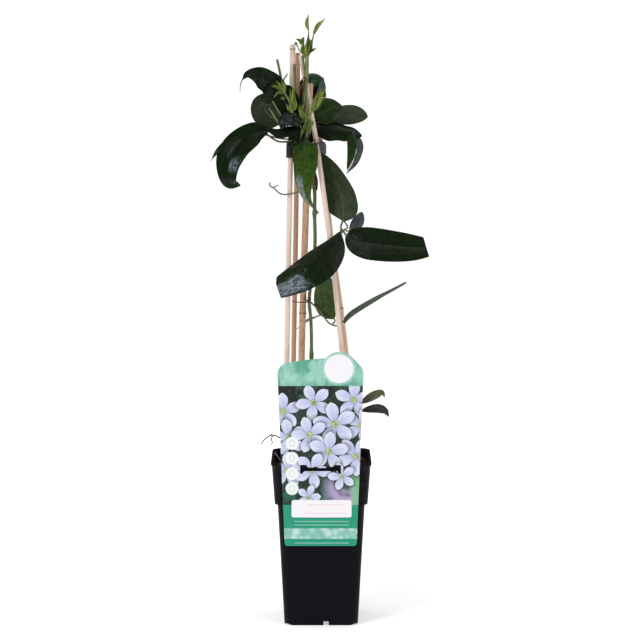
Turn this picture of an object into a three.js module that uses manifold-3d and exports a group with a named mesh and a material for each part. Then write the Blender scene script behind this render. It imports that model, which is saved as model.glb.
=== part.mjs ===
// A young evergreen climbing clematis in a tall square pot, led up four corner canes and a thicker centre cane.
// Millimetres, +Z up, the front of the pot towards -Y, the middle of the pot's base at the origin.
import * as THREE from "three";
import { mergeVertices } from "three/addons/utils/BufferGeometryUtils.js";
import Module from "manifold-3d";

const wasm = await Module();
wasm.setup();

// ---------------------------------------------------------------- driving dimensions
const GAP = 0.3; // clearance between pieces that touch

const POT_HEIGHT = 187;
const POT_RIM_HALF = 55.5; // half the outer width at the rim
const POT_COLLAR_HALF = 52.3; // half the outer width at the collar's lower edge
const POT_COLLAR_Z = 140;
const POT_STEP = 3.3; // how far the body stands back under the collar
const POT_BASE_HALF = 41.5;
const POT_WALL = 1.6;
const POT_FLOOR = 2.4;
const POT_CORNER_R = 10;
const POT_BEAD = 0.9; // how far the rim's rolled bead stands proud
const DRAIN_WIDTH = 6;
const DRAIN_HEIGHT = 5;
const DRAIN_DEPTH = 16;
const DRAIN_OFFSET = 5.5; // to the right of each side's middle
const CORNER_SIDES = 4;

const SOIL_TOP_Z = 173;
const SOIL_RELIEF = 2.2;
const SOIL_CELLS = 10;

const CLIP_Z = [525.5, 542.5];
const CLIP_WALL = 1.3;

const LABEL_Y = -57.2; // back face of the label sheet
const LABEL_THICK = 0.8;
const LABEL_BOTTOM_Z = 94.5;
const LABEL_SHOULDER_Z = 298.5;
const LABEL_TOP_HALF = 47.5;
const LABEL_BOTTOM_HALF = 40;
const LABEL_CENTRE_TOP_X = -0.8;
const LABEL_CENTRE_BOTTOM_X = -0.6;
const LABEL_TAB = { x: 20, z: 292.5, r: 19.8 };
const LABEL_SLOT = { left: -23, right: 21.5, low: 176.5, high: 185.5, slit: 2.9, end: 2.4 };
const TONGUE = { half: 13, reach: 5.6, drop: 9, thick: 0.8 };

const LEAF_THICK = 0.7;
const LEAF_STEPS = 8;

// ---------------------------------------------------------------- colours from the photograph
const finish = (color, roughness) =>
  new THREE.MeshStandardMaterial({ color, roughness, metalness: 0 });

const POT_PLASTIC = finish("#18181c", 0.45);
const SOIL = finish("#3a2a1e", 0.95);
const CANE_PALE = finish("#e1cdbe", 0.6);
const CANE_TAN = finish("#c39678", 0.6);
const CANE_BROWN = finish("#b48a66", 0.65);
const CLIP_PLASTIC = finish("#1d2024", 0.5);
const LABEL_CARD = finish("#6ebea5", 0.35);
const LEAF_DARK = finish("#1f2b1f", 0.35);
const LEAF_OLIVE = finish("#37412a", 0.5);
const LEAF_BRIGHT = finish("#285a19", 0.4);
const SHOOT_GREEN = finish("#829a46", 0.5);
const STEM_GREEN = finish("#4b6b3c", 0.55);
const DRIED = finish("#5a4632", 0.8);

// ---------------------------------------------------------------- solids
// A closed three.js geometry as a manifold-3d solid.
function solidOf(geometry) {
  const bare = new THREE.BufferGeometry().setAttribute(
    "position",
    geometry.index
      ? geometry.toNonIndexed().getAttribute("position")
      : geometry.getAttribute("position"),
  );
  const merged = mergeVertices(bare, 1e-4);
  return new wasm.Manifold(
    new wasm.Mesh({
      numProp: 3,
      vertProperties: merged.attributes.position.array,
      triVerts: new Uint32Array(merged.index.array),
    }),
  );
}

function geometryOf(solid) {
  const mesh = solid.getMesh();
  const geometry = new THREE.BufferGeometry();
  geometry.setAttribute("position", new THREE.BufferAttribute(mesh.vertProperties, 3));
  geometry.setIndex(new THREE.BufferAttribute(mesh.triVerts, 1));
  geometry.computeVertexNormals();
  return geometry;
}

const fuse = (solids) => solids.reduce((all, one) => all.add(one));

// A closed geometry from rings of equally many points, each ring turning the same way, capped at both ends.
function loftOf(rings) {
  const sides = rings[0].length;
  const points = rings.flat();
  const faces = [];
  for (let ring = 0; ring + 1 < rings.length; ring++) {
    for (let side = 0; side < sides; side++) {
      const a = ring * sides + side;
      const b = ring * sides + ((side + 1) % sides);
      faces.push(a, b, b + sides, a, b + sides, a + sides);
    }
  }
  const last = (rings.length - 1) * sides;
  for (let side = 1; side + 1 < sides; side++) {
    faces.push(0, side + 1, side, last, last + side, last + side + 1);
  }
  return new THREE.BufferGeometry().setFromPoints(points).setIndex(faces);
}

function boxSolid(width, depth, height, x, y, z) {
  return solidOf(new THREE.BoxGeometry(width, depth, height).translate(x, y, z + height / 2));
}

// ---------------------------------------------------------------- pot and soil
function squareRing(z, half, radius) {
  const ring = [];
  for (let corner = 0; corner < 4; corner++) {
    const start = (corner * Math.PI) / 2;
    const cx = (half - radius) * Math.SQRT2 * Math.cos(start + Math.PI / 4);
    const cy = (half - radius) * Math.SQRT2 * Math.sin(start + Math.PI / 4);
    for (let step = 0; step <= CORNER_SIDES; step++) {
      const angle = start + (step / CORNER_SIDES) * (Math.PI / 2);
      ring.push(new THREE.Vector3(cx + radius * Math.cos(angle), cy + radius * Math.sin(angle), z));
    }
  }
  return ring;
}

// Half the outer width of the pot's body, below the collar, at height z.
const bodyHalf = (z) =>
  THREE.MathUtils.mapLinear(z, 0, POT_COLLAR_Z, POT_BASE_HALF, POT_COLLAR_HALF - POT_STEP);
const collarHalf = (z) =>
  THREE.MathUtils.mapLinear(z, POT_COLLAR_Z, POT_HEIGHT, POT_COLLAR_HALF, POT_RIM_HALF);

// The pot's inner surface as [z, half width] levels, drawn in by inset, up to height top.
function innerLevels(inset, bottom, top) {
  const stepZ = POT_COLLAR_Z - POT_WALL;
  return [
    [bottom, bodyHalf(bottom) - POT_WALL - inset],
    [stepZ + inset, bodyHalf(stepZ) - POT_WALL - inset],
    [stepZ + inset + POT_STEP, collarHalf(stepZ + POT_STEP) - POT_WALL - inset],
    [top, collarHalf(top) - POT_WALL - inset],
  ].map(([z, half]) => squareRing(z, half, POT_CORNER_R - POT_WALL - inset));
}

function drainCovers(extra) {
  const covers = [];
  for (let side = 0; side < 4; side++) {
    const cover = new THREE.BoxGeometry(
      DRAIN_WIDTH + 2 * (POT_WALL + extra),
      DRAIN_DEPTH + 2 * (POT_WALL + extra),
      2 * (DRAIN_HEIGHT + POT_WALL + extra),
    );
    cover.translate(DRAIN_OFFSET, -(POT_BASE_HALF - 1 - DRAIN_DEPTH / 2), 0);
    covers.push(solidOf(cover.rotateZ((side * Math.PI) / 2)));
  }
  return fuse(covers);
}

function drainChannels() {
  const channels = [];
  for (let side = 0; side < 4; side++) {
    const turn = (side * Math.PI) / 2;
    const channel = new THREE.BoxGeometry(DRAIN_WIDTH, DRAIN_DEPTH + 8, 2 * DRAIN_HEIGHT);
    channel.translate(DRAIN_OFFSET, -(POT_BASE_HALF + 3 - DRAIN_DEPTH / 2), 0);
    const hole = new THREE.CylinderGeometry(2.4, 2.4, 40, 10).rotateX(Math.PI / 2);
    hole.translate(DRAIN_OFFSET, -(POT_BASE_HALF - DRAIN_DEPTH + 3), 0);
    channels.push(solidOf(channel.rotateZ(turn)), solidOf(hole.rotateZ(turn)));
  }
  return fuse(channels);
}

function potSolid() {
  const outer = loftOf(
    [
      [0, POT_BASE_HALF - 1],
      [1.4, POT_BASE_HALF + 0.1],
      [POT_COLLAR_Z - 1, bodyHalf(POT_COLLAR_Z)],
      [POT_COLLAR_Z - 1, POT_COLLAR_HALF - 1],
      [POT_COLLAR_Z, POT_COLLAR_HALF],
      [POT_HEIGHT - 4, collarHalf(POT_HEIGHT - 4)],
      [POT_HEIGHT - 3.2, POT_RIM_HALF + POT_BEAD],
      [POT_HEIGHT - 0.8, POT_RIM_HALF + POT_BEAD],
      [POT_HEIGHT, POT_RIM_HALF],
    ].map(([z, half]) => squareRing(z, half, POT_CORNER_R)),
  );
  const inner = solidOf(loftOf(innerLevels(0, POT_FLOOR, POT_HEIGHT + 1)));
  const floorBox = solidOf(loftOf(innerLevels(-0.4, 0.6, DRAIN_HEIGHT + 4)));
  return solidOf(outer)
    .subtract(inner)
    .add(drainCovers(0).intersect(floorBox))
    .subtract(drainChannels());
}

// The compost's top is a low rolling heightfield, cut to the pot's inside.
function soilSolid(holes) {
  const half = POT_RIM_HALF + 2;
  const height = (x, y) =>
    SOIL_TOP_Z +
    (SOIL_RELIEF / 2) * Math.sin(x * 0.19 + 1.1) * Math.cos(y * 0.16) +
    (SOIL_RELIEF / 2) * Math.sin(x * 0.07 - y * 0.11);
  const block = new THREE.BoxGeometry(2 * half, 2 * half, 200, SOIL_CELLS, SOIL_CELLS, 1);
  block.translate(0, 0, 100);
  const place = block.getAttribute("position");
  for (let i = 0; i < place.count; i++) {
    if (place.getZ(i) > 100) place.setZ(i, height(place.getX(i), place.getY(i)));
    else place.setZ(i, POT_FLOOR + GAP);
  }
  const cavity = solidOf(loftOf(innerLevels(GAP, POT_FLOOR + GAP, POT_HEIGHT)));
  return solidOf(block).intersect(cavity).subtract(drainCovers(GAP)).subtract(holes);
}

// ---------------------------------------------------------------- canes
const curveOf = (points) =>
  new THREE.CatmullRomCurve3(points.map((p) => new THREE.Vector3(...p)), false, "catmullrom", 0.5);

// Each cane: its centre line from the bottom up, its radius, its growth rings (heights) and its colour.
const CANES = {
  cane_front_left: {
    line: [[-35, -36, 62], [-40, -38.5, 175], [-38.3, -30.5, 306], [-34.6, -16.5, 512],
      [-31.8, -7, 651.5]],
    radius: 2.9,
    rings: [646, 431, 248],
    material: CANE_PALE,
  },
  cane_back_left: {
    line: [[-33, 36, 62], [-33.5, 38.5, 175], [-31.5, 30, 299], [-27.6, 15, 512], [-26.3, 6, 642]],
    radius: 2.8,
    rings: [590, 372, 225],
    material: CANE_TAN,
  },
  cane_centre: {
    line: [[-20, 2, 14], [-23, 0, 175], [-22.2, 0, 302], [-17.3, 0, 466], [-12.7, 0, 608]],
    radius: 3.75,
    rings: [548, 330, 212],
    material: CANE_BROWN,
  },
  cane_front_right: {
    line: [[35, -36, 62], [38.5, -38.5, 175], [23.5, -30.5, 309], [11, -22.8, 423], [-4, -14.5, 533],
      [-12, -10.5, 579], [-22.6, -7, 639]],
    radius: 2.9,
    rings: [474, 339, 231],
    material: CANE_PALE,
  },
  cane_back_right: {
    line: [[36, 36, 62], [40.5, 38.5, 175], [26.4, 29, 321], [12.5, 21.6, 424], [0.4, 14, 533],
      [-3, 12, 562]],
    radius: 2.8,
    rings: [470, 402, 262],
    material: CANE_TAN,
  },
};

// A cane is a lathe-turned rod with a slight swelling at each ring, then bent along its centre line.
function caneSolid({ line, radius, rings }, extra = 0) {
  const curve = curveOf(line);
  const [bottom, top] = [line[0][2], line.at(-1)[2]];
  const heights = [bottom];
  const swell = new Map();
  for (let z = bottom + 60; z < top - 20; z += 60) heights.push(z);
  for (const z of rings) {
    for (const [lift, more] of [[-3, 0], [-0.8, 0.45], [0.8, 0.3], [3, 0]]) {
      heights.push(z + lift);
      swell.set(z + lift, more);
    }
  }
  heights.push(top);
  heights.sort((a, b) => a - b);
  const profile = [new THREE.Vector2(0, bottom - extra)];
  for (const z of heights) {
    const reach = z === bottom ? -extra : z === top ? extra : 0;
    profile.push(new THREE.Vector2(radius + extra + (swell.get(z) ?? 0), z + reach));
  }
  profile.push(new THREE.Vector2(0, top + extra));
  const rod = new THREE.LatheGeometry(profile, 8).rotateX(Math.PI / 2).scale(1, -1, 1);
  rod.index.array.reverse();
  const place = rod.getAttribute("position");
  for (let i = 0; i < place.count; i++) {
    const centre = pointAtHeight(curve, place.getZ(i));
    place.setX(i, place.getX(i) + centre.x);
    place.setY(i, place.getY(i) + centre.y);
  }
  return solidOf(rod);
}

// The point of a rising curve at height z, found by halving.
function pointAtHeight(curve, z) {
  let [low, high] = [0, 1];
  for (let pass = 0; pass < 24; pass++) {
    const middle = (low + high) / 2;
    if (curve.getPoint(middle).z < z) low = middle;
    else high = middle;
  }
  return curve.getPoint((low + high) / 2);
}

// ---------------------------------------------------------------- cane clip
// A hub round the centre cane with a snap seat, open outwards, for each corner cane.
function clipSolid() {
  const [low, high] = CLIP_Z;
  const middle = (low + high) / 2;
  const height = high - low;
  const seats = Object.entries(CANES).map(([name, cane]) => {
    const centre = pointAtHeight(curveOf(cane.line), middle);
    return { name, cane, centre, outer: cane.radius + 2 * GAP + CLIP_WALL };
  });
  const hub = seats.find(({ name }) => name === "cane_centre");
  let body = null;
  let mouths = null;
  for (const seat of seats) {
    const ring = solidOf(
      new THREE.CylinderGeometry(seat.outer, seat.outer, height, 16)
        .rotateX(Math.PI / 2)
        .translate(seat.centre.x, seat.centre.y, middle),
    );
    body = body ? body.add(ring) : ring;
    if (seat === hub) continue;
    const away = new THREE.Vector2(seat.centre.x - hub.centre.x, seat.centre.y - hub.centre.y);
    const reach = away.length();
    const turn = away.angle();
    const web = new THREE.BoxGeometry(reach, 2.2, height - 3)
      .translate(reach / 2, 0, 0)
      .rotateZ(turn)
      .translate(hub.centre.x, hub.centre.y, middle);
    const mouth = new THREE.BoxGeometry(8, 12, height + 2)
      .translate(reach + 1.9 + 4, 0, 0)
      .rotateZ(turn)
      .translate(hub.centre.x, hub.centre.y, middle);
    body = body.add(solidOf(web));
    mouths = mouths ? mouths.add(solidOf(mouth)) : solidOf(mouth);
  }
  const bores = fuse(Object.values(CANES).map((cane) => caneSolid(cane, GAP)));
  return body.subtract(mouths).subtract(bores);
}

// ---------------------------------------------------------------- label
function labelOutline() {
  const bottomHalf = LABEL_BOTTOM_HALF;
  const topHalf = LABEL_TOP_HALF;
  const [bx, tx] = [LABEL_CENTRE_BOTTOM_X, LABEL_CENTRE_TOP_X];
  const bottom = LABEL_BOTTOM_Z;
  const outline = new THREE.Shape();
  outline.moveTo(bx - bottomHalf + 3.5, bottom);
  outline.lineTo(bx + bottomHalf - 3.5, bottom);
  outline.quadraticCurveTo(bx + bottomHalf, bottom, bx + bottomHalf + 0.2, bottom + 3.5);
  outline.lineTo(tx + topHalf, LABEL_SHOULDER_Z - 11);
  outline.quadraticCurveTo(tx + topHalf, LABEL_SHOULDER_Z - 4, tx + topHalf - 6, LABEL_SHOULDER_Z + 1);
  outline.lineTo(LABEL_TAB.x + LABEL_TAB.r * 0.72, LABEL_TAB.z + LABEL_TAB.r * 0.694);
  outline.absarc(LABEL_TAB.x, LABEL_TAB.z, LABEL_TAB.r, 0.767, Math.PI - 0.6, false);
  outline.quadraticCurveTo(-12, LABEL_SHOULDER_Z + 6.5, tx - topHalf + 8, LABEL_SHOULDER_Z + 1);
  outline.quadraticCurveTo(tx - topHalf, LABEL_SHOULDER_Z - 3, tx - topHalf, LABEL_SHOULDER_Z - 11);
  outline.lineTo(bx - bottomHalf - 0.2, bottom + 3.5);
  outline.quadraticCurveTo(bx - bottomHalf, bottom, bx - bottomHalf + 3.5, bottom);
  return outline;
}

function slotOutline() {
  const { left, right, low, high, slit, end } = LABEL_SLOT;
  const middle = (low + high) / 2;
  const slot = new THREE.Path();
  slot.moveTo(left, low);
  slot.lineTo(left, high);
  slot.lineTo(left + 3 * end, high);
  slot.lineTo(left + 3 * end, high - 2.2);
  slot.lineTo(left + end, high - 2.2);
  slot.lineTo(left + end, middle + slit / 2);
  slot.lineTo(right - end, middle + slit / 2);
  slot.lineTo(right - end, high - 2.2);
  slot.lineTo(right - 3 * end, high - 2.2);
  slot.lineTo(right - 3 * end, high);
  slot.lineTo(right, high);
  slot.lineTo(right, low);
  slot.lineTo(right - end, low);
  slot.lineTo(right - end, middle - slit / 2);
  slot.lineTo(left + end, middle - slit / 2);
  slot.lineTo(left + end, low);
  return slot;
}

function labelSolid() {
  const outline = labelOutline();
  outline.holes.push(slotOutline());
  const sheet = new THREE.ExtrudeGeometry(outline, {
    depth: LABEL_THICK,
    bevelEnabled: false,
    curveSegments: 8,
  });
  sheet.rotateX(Math.PI / 2).translate(0, LABEL_Y, 0);
  const { half, reach, drop, thick } = TONGUE;
  const over = POT_HEIGHT + GAP;
  const back = LABEL_Y - 0.2;
  const bridge = boxSolid(2 * half, reach, thick, 0, back + reach / 2, over);
  const hook = boxSolid(2 * half, thick, drop + thick, 0, back + reach - thick / 2, over - drop);
  return solidOf(sheet).add(bridge).add(hook);
}

// ---------------------------------------------------------------- stalks and blades
// A round stalk along a smooth line through points, its radius running from first to last.
function stalkSolid({ line, first, last, sides = 5, steps = Math.max(3, 2 * (line.length - 1)) }) {
  const curve = curveOf(line);
  const frames = curve.computeFrenetFrames(steps, false);
  const rings = [];
  for (let step = 0; step <= steps; step++) {
    const centre = curve.getPointAt(step / steps);
    const radius = THREE.MathUtils.lerp(first, last, step / steps);
    const ring = [];
    for (let side = 0; side < sides; side++) {
      const angle = (2 * Math.PI * side) / sides;
      ring.push(
        centre
          .clone()
          .addScaledVector(frames.normals[step], radius * Math.cos(angle))
          .addScaledVector(frames.binormals[step], radius * Math.sin(angle)),
      );
    }
    rings.push(ring);
  }
  return solidOf(loftOf(rings));
}

// The share of a leaf's greatest half width at t, from 0 at its base to 1 at its tip.
function leafOutline(t, peak, taper) {
  if (t < peak) return Math.sin((Math.PI / 2) * (t / peak)) ** 0.75;
  return Math.max(0, Math.cos((Math.PI / 2) * ((t - peak) / (1 - peak)))) ** taper;
}

// The main stem, and the point at height z beside it, degrees round from +X, where a stalk grows out.
const STEM = {
  line: [[-14, -14, 120], [-12, -10, 200], [-11, -6.5, 303], [-11.5, -7.5, 340], [-13.5, -9, 366],
    [-10, -8.5, 394], [-7, -8, 427], [-7.5, -8, 463], [-7.5, -9, 489], [-12, -10.5, 517], [-17, -12.5, 545],
    [-19.5, -16, 566], [-19, -17, 578]],
  first: 2.3,
  last: 1.7,
  sides: 6,
  steps: 32,
};
const STALK_SEAT = 0.85; // from the stem's skin to the middle of a stalk's end

function seat(z, degrees, clear = STALK_SEAT) {
  const centre = pointAtHeight(curveOf(STEM.line), z);
  const reach = THREE.MathUtils.mapLinear(z, 120, 578, STEM.first, STEM.last) + clear;
  const angle = THREE.MathUtils.degToRad(degrees);
  return [centre.x + reach * Math.cos(angle), centre.y + reach * Math.sin(angle), z];
}

// A shoot's small leaflet: few triangles and no midrib of its own.
const LEAFLET = {
  face: [-0.1, -0.95, 0.3],
  fold: 14,
  cup: 0.1,
  peak: 0.45,
  taper: 1,
  steps: 3,
  across: [-1, 0, 1],
  rib: 0,
};

// A leaf blade: a midrib line, the half width, and the way its upper face looks at the base and at the tip.
// fold lifts (or with a minus drops) both halves off the midrib, in degrees; cup bends their edges down;
// peak is where along the blade it is widest, taper shapes it from there to the tip, and cut ends it square
// at that share of its length.
function bladeSolid(blade) {
  const { line, half, face, tipFace = face, fold, cup, peak, taper, cut = 1 } = blade;
  const { across = [-1, -0.5, 0, 0.5, 1], steps = LEAF_STEPS } = blade;
  const curve = curveOf(line);
  const lift = THREE.MathUtils.degToRad(fold);
  const upper = [];
  const lower = [];
  for (let step = 0; step <= steps; step++) {
    const t = (step / steps) * cut;
    const centre = curve.getPoint(t);
    const along = curve.getTangent(t);
    const up = new THREE.Vector3(...face).lerp(new THREE.Vector3(...tipFace), t);
    up.addScaledVector(along, -up.dot(along)).normalize();
    const side = new THREE.Vector3().crossVectors(along, up);
    const width = Math.max(0.5, half * leafOutline(t, peak, taper));
    for (const s of across) {
      const out = Math.abs(s) * width;
      const rise = out * Math.sin(lift) - cup * out * Math.abs(s);
      const middle = centre
        .clone()
        .addScaledVector(side, s * width * Math.cos(lift))
        .addScaledVector(up, rise);
      upper.push(middle.clone().addScaledVector(up, LEAF_THICK / 2));
      lower.push(middle.clone().addScaledVector(up, -LEAF_THICK / 2));
    }
  }
  const columns = across.length;
  const under = upper.length;
  const faces = [];
  const quad = (a, b, c, d) => faces.push(a, b, c, a, c, d);
  for (let row = 0; row < steps; row++) {
    for (let column = 0; column + 1 < columns; column++) {
      const a = row * columns + column;
      const c = a + columns + 1;
      faces.push(a, a + 1, c, a, c, c - 1);
      faces.push(under + a, under + c, under + a + 1, under + a, under + c - 1, under + c);
    }
    const left = row * columns;
    const right = left + columns - 1;
    quad(left, left + columns, under + left + columns, under + left);
    quad(right, under + right, under + right + columns, right + columns);
  }
  const end = steps * columns;
  for (let column = 0; column + 1 < columns; column++) {
    quad(column, under + column, under + column + 1, column + 1);
    quad(end + column, end + column + 1, under + end + column + 1, under + end + column);
  }
  const geometry = new THREE.BufferGeometry().setFromPoints([...upper, ...lower]).setIndex(faces);
  const solid = solidOf(geometry);
  if (blade.rib === 0) return solid;
  return solid.add(ribSolid(blade, curve, cut));
}

// The midrib stands out of the blade's underside.
function ribSolid({ face, tipFace = face, rib = 0.9 }, curve, cut) {
  const line = [];
  for (const t of [0, 0.3, 0.6, 0.88]) {
    const along = curve.getTangent(t * cut);
    const up = new THREE.Vector3(...face).lerp(new THREE.Vector3(...tipFace), t);
    up.addScaledVector(along, -up.dot(along)).normalize();
    line.push(curve.getPoint(t * cut).addScaledVector(up, -0.35).toArray());
  }
  return stalkSolid({ line, first: rib, last: 0.45, sides: 4, steps: 3 });
}

const plantSolid = ({ stalks = [], blades = [] }) =>
  fuse([...stalks.map(stalkSolid), ...blades.map(bladeSolid)]);

// ---------------------------------------------------------------- the plant, piece by piece
// Lines run from the base out, through points chosen along each stalk and midrib.
const PLANT = {
  stem_main: { material: STEM_GREEN, stalks: [STEM] },
  leaf_left_high: {
    material: LEAF_DARK,
    stalks: [{ line: [seat(566, 215), [-28, -20.5, 564], [-37, -23, 575.5]], first: 1.1, last: 1.1 }],
    blades: [
      {
        line: [[-36, -22, 574], [-44.5, -25, 595], [-59, -29, 613], [-75.5, -32, 618.5],
            [-85, -34, 613], [-89, -36, 599.5]],
        half: 14, face: [-0.6, -0.75, 0.4], tipFace: [-0.2, -0.2, 0.9],
        fold: 8, cup: 0.2, peak: 0.4, taper: 1.3, rib: 0,
      },
    ],
  },
  leaf_left_rear: {
    material: LEAF_OLIVE,
    stalks: [{ line: [seat(560, 190), [-31.5, -19.5, 553], [-41.5, -19.5, 556.5],
        [-44.5, -18, 563]], first: 1.1, last: 1.1 }],
    blades: [
      {
        line: [[-44.5, -18, 562], [-58, -12, 574], [-66, -5, 584], [-60.5, 2, 595]],
        half: 19, face: [0.2, 0.9, 0.3], fold: 8, cup: 0.15, peak: 0.5, taper: 1,
      },
    ],
  },
  leaf_left_low: {
    material: LEAF_DARK,
    stalks: [{ line: [seat(552, 225), [-34.5, -23, 544.5], [-48, -25, 544], [-59, -26, 551],
        [-63.5, -26, 554.5]], first: 1, last: 1.1 }],
    blades: [
      {
        line: [[-58, -25, 555.5], [-74.5, -28, 553.5], [-92, -33, 540], [-103, -36, 520.5],
            [-102, -35, 499.5], [-89.5, -28, 494.5]],
        half: 16, face: [-0.5, -0.75, 0.45], tipFace: [-0.6, -0.7, -0.3],
        fold: 10, cup: 0.2, peak: 0.4, taper: 0.8, rib: 0,
      },
    ],
  },
  leaf_left_tip: {
    material: LEAF_DARK,
    stalks: [{ line: [seat(556, 200), [-34.5, -20, 547], [-48, -18, 547.5], [-63.5, -16, 551.5]],
        first: 0.9, last: 0.9 }],
    blades: [
      {
        line: [[-61.5, -16, 551.5], [-83.5, -18, 550], [-103.5, -20, 540], [-115, -21, 533],
            [-123.5, -22, 522]],
        half: 8, face: [-0.3, -0.8, 0.5], fold: 10, cup: 0.2, peak: 0.4, taper: 1.5, rib: 0,
      },
    ],
  },
  leaf_left_front: {
    material: LEAF_DARK,
    stalks: [{ line: [seat(560, 265), [-21, -25, 557], [-21.5, -30.5, 560], [-24, -31.5, 561]],
        first: 1, last: 1 }],
    blades: [
      {
        line: [[-21.5, -31, 560], [-33.5, -35, 563.5], [-43.5, -37, 557], [-59, -38, 558]],
        half: 13, face: [-0.1, -0.9, 0.4], fold: 6, cup: 0.15, peak: 0.35, taper: 1.6, rib: 0,
      },
    ],
  },
  leaf_right_high: {
    material: LEAF_DARK,
    stalks: [{ line: [seat(568, 70), [-18, -8, 574], [-22.5, 4, 583], [-20.5, 8, 591.5]],
        first: 1, last: 1 }],
    blades: [
      {
        line: [[-20.5, 8, 589.5], [-19.5, 9, 605], [-11.5, 10, 613], [-1.5, 12, 610.5], [6, 10, 591.5]],
        half: 9, face: [-0.6, -0.7, 0.2], tipFace: [0.6, -0.6, 0.4],
        fold: 8, cup: 0.2, peak: 0.5, taper: 0.9, rib: 0,
      },
    ],
  },
  leaf_right_middle: {
    material: LEAF_DARK,
    stalks: [{ line: [seat(562, 40), [-13.5, -8, 565], [-9, -5, 570.5]], first: 1, last: 1 }],
    blades: [
      {
        line: [[-10.5, -5, 570.5], [1, -4, 576], [12, -2, 580.5], [23.5, 1, 583]],
        half: 15, face: [0.1, -0.9, 0.35], fold: 6, cup: 0.15, peak: 0.5, taper: 0.8, rib: 0,
      },
    ],
  },
  leaf_right_rear: {
    material: LEAF_OLIVE,
    stalks: [{ line: [seat(557, 50), [-11.5, -6, 559.5], [-3.5, 3, 565]], first: 1, last: 1 }],
    blades: [
      {
        line: [[-4.5, 3, 565], [15.5, 8, 571.5], [34.5, 12, 573], [52.5, 16, 570.5]],
        half: 11.5, face: [0.1, 0.9, 0.3], fold: 6, cup: 0.15, peak: 0.6, taper: 0.8,
      },
    ],
  },
  leaf_right_low: {
    material: LEAF_DARK,
    stalks: [{ line: [seat(552, 30), [-11.5, -8, 554], [-7, -5, 556]], first: 1, last: 1 }],
    blades: [
      {
        line: [[-9, -5, 556], [15.5, -6, 555], [34.5, -7, 548.5], [42, -8, 536], [37.5, -11, 523],
            [28, -15, 508.5]],
        half: 11, face: [0.2, -0.8, 0.6], tipFace: [0.8, -0.6, 0.1],
        fold: -12, cup: 0.25, peak: 0.25, taper: 0.9, rib: 0,
      },
    ],
  },
  leaf_centre: {
    material: LEAF_BRIGHT,
    stalks: [{ line: [seat(553, 280), [-18.5, -22, 547.5], [-19, -24, 541]], first: 1, last: 1 }],
    blades: [
      {
        line: [[-19, -23, 543], [-20, -26, 523.5], [-19, -27, 501], [-14.5, -27, 481], [-4, -26, 465.5]],
        half: 12.5, face: [-0.1, -0.95, 0.2], fold: 12, cup: 0.15, peak: 0.2, taper: 0.75, rib: 0,
      },
    ],
  },
  leaf_side: {
    material: LEAF_OLIVE,
    stalks: [
      { line: [seat(463, 0), [3, -8, 456.5], [15.5, -14, 449], [24.5, -24, 445.5]],
          first: 1.1, last: 1.2 },
      { line: [[22.5, -24, 445.5], [22, -20, 449.5], [24.5, -15, 456]], first: 1.1, last: 1.1 },
      { line: [[22, -24, 446.5], [21.5, -30, 441.5], [21, -42, 434.5]], first: 1.1, last: 1.1 },
      { line: [[22, -24, 446.5], [26.5, -27, 444.5], [32, -32, 437]], first: 1.1, last: 1.1 },
      { line: [[25.5, -25, 445.5], [29.5, -20, 448.5], [25.5, -14, 455]], first: 0.9, last: 0.9 },
      { line: [[26, -25, 445.5], [30, -22, 444], [34.5, -18, 447]], first: 0.8, last: 0.8 },
    ],
    blades: [
      {
        line: [[25, -16, 454], [24.5, -11, 470.5], [20, -6, 489], [10, -2, 512.5], [0, 0, 531.5]],
        half: 20, face: [0.25, 0.9, 0.3], fold: 6, cup: 0.15, peak: 0.36, taper: 0.85,
      },
      {
        line: [[22, -42, 435.5], [1, -48, 421.5], [-21.5, -51, 408], [-45.5, -52, 393],
            [-72, -51, 374.5]],
        half: 25.5, face: [-0.2, -0.75, 0.6], fold: -30, cup: 0.1, peak: 0.3, taper: 0.6, cut: 0.78,
      },
      {
        line: [[30, -31, 438], [54, -37, 430.5], [87.5, -40, 427.5], [116, -40, 427.5],
            [137.5, -40, 426.5]],
        half: 20, face: [0, -0.85, 0.5], fold: 8, cup: 0.1, peak: 0.3, taper: 0.6, cut: 0.76,
      },
      {
        line: [[32.5, -19, 446], [38, -12, 453.5], [47, -4, 463]],
        half: 7, face: [0.3, -0.8, 0.5], fold: 6, cup: 0.15, peak: 0.6, taper: 0.7, rib: 0, steps: 6,
      },
    ],
  },
  leaf_low: {
    material: LEAF_OLIVE,
    stalks: [
      {
        line: [seat(364, 310), [-3.5, -16, 356], [2, -17, 349], [8.5, -16, 340.5], [17.5, -16, 337],
            [23.5, -16, 341.5], [25.5, -18, 346.5]],
        first: 1, last: 1.1, steps: 12,
      },
      { line: [[12, -16, 338], [15.5, -15, 342.5], [13, -15, 347]], first: 0.9, last: 0.8 },
      { line: [[2, -17, 349], [0, -11, 349], [-9.5, 1, 344]], first: 0.8, last: 0.8 },
    ],
    blades: [
      {
        line: [[14.5, -15, 344.5], [9.5, -14, 356], [6.5, -14, 370.5], [4, -15, 385.5], [1, -17, 400]],
        half: 13, face: [0.2, 0.95, 0.1], fold: 6, cup: 0.15, peak: 0.4, taper: 0.8,
      },
      {
        line: [[25.5, -18, 346], [36.5, -22, 355], [50, -26, 364.5], [65.5, -29, 373.5],
            [80, -31, 381], [99, -32, 389]],
        half: 11, face: [0, -0.28, 0.95], fold: 8, cup: 0.1, peak: 0.5, taper: 0.6, cut: 0.9,
      },
      {
        line: [[-6, -3, 346.5], [-11.5, 6, 343], [-18.5, 14, 337], [-28.5, 21, 329.5]],
        half: 5.5, face: [0.1, -0.2, 0.97], fold: 6, cup: 0.1, peak: 0.4, taper: 0.9, rib: 0, steps: 6,
      },
    ],
  },
  shoot_leader: {
    material: SHOOT_GREEN,
    stalks: [
      { line: [[-19, -17, 578.8], [-18.5, -17.5, 589.5], [-17, -17.5, 606], [-16, -17, 625],
          [-15.5, -16, 639.5], [-13.5, -15, 648], [-11.5, -15, 656]],
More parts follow.
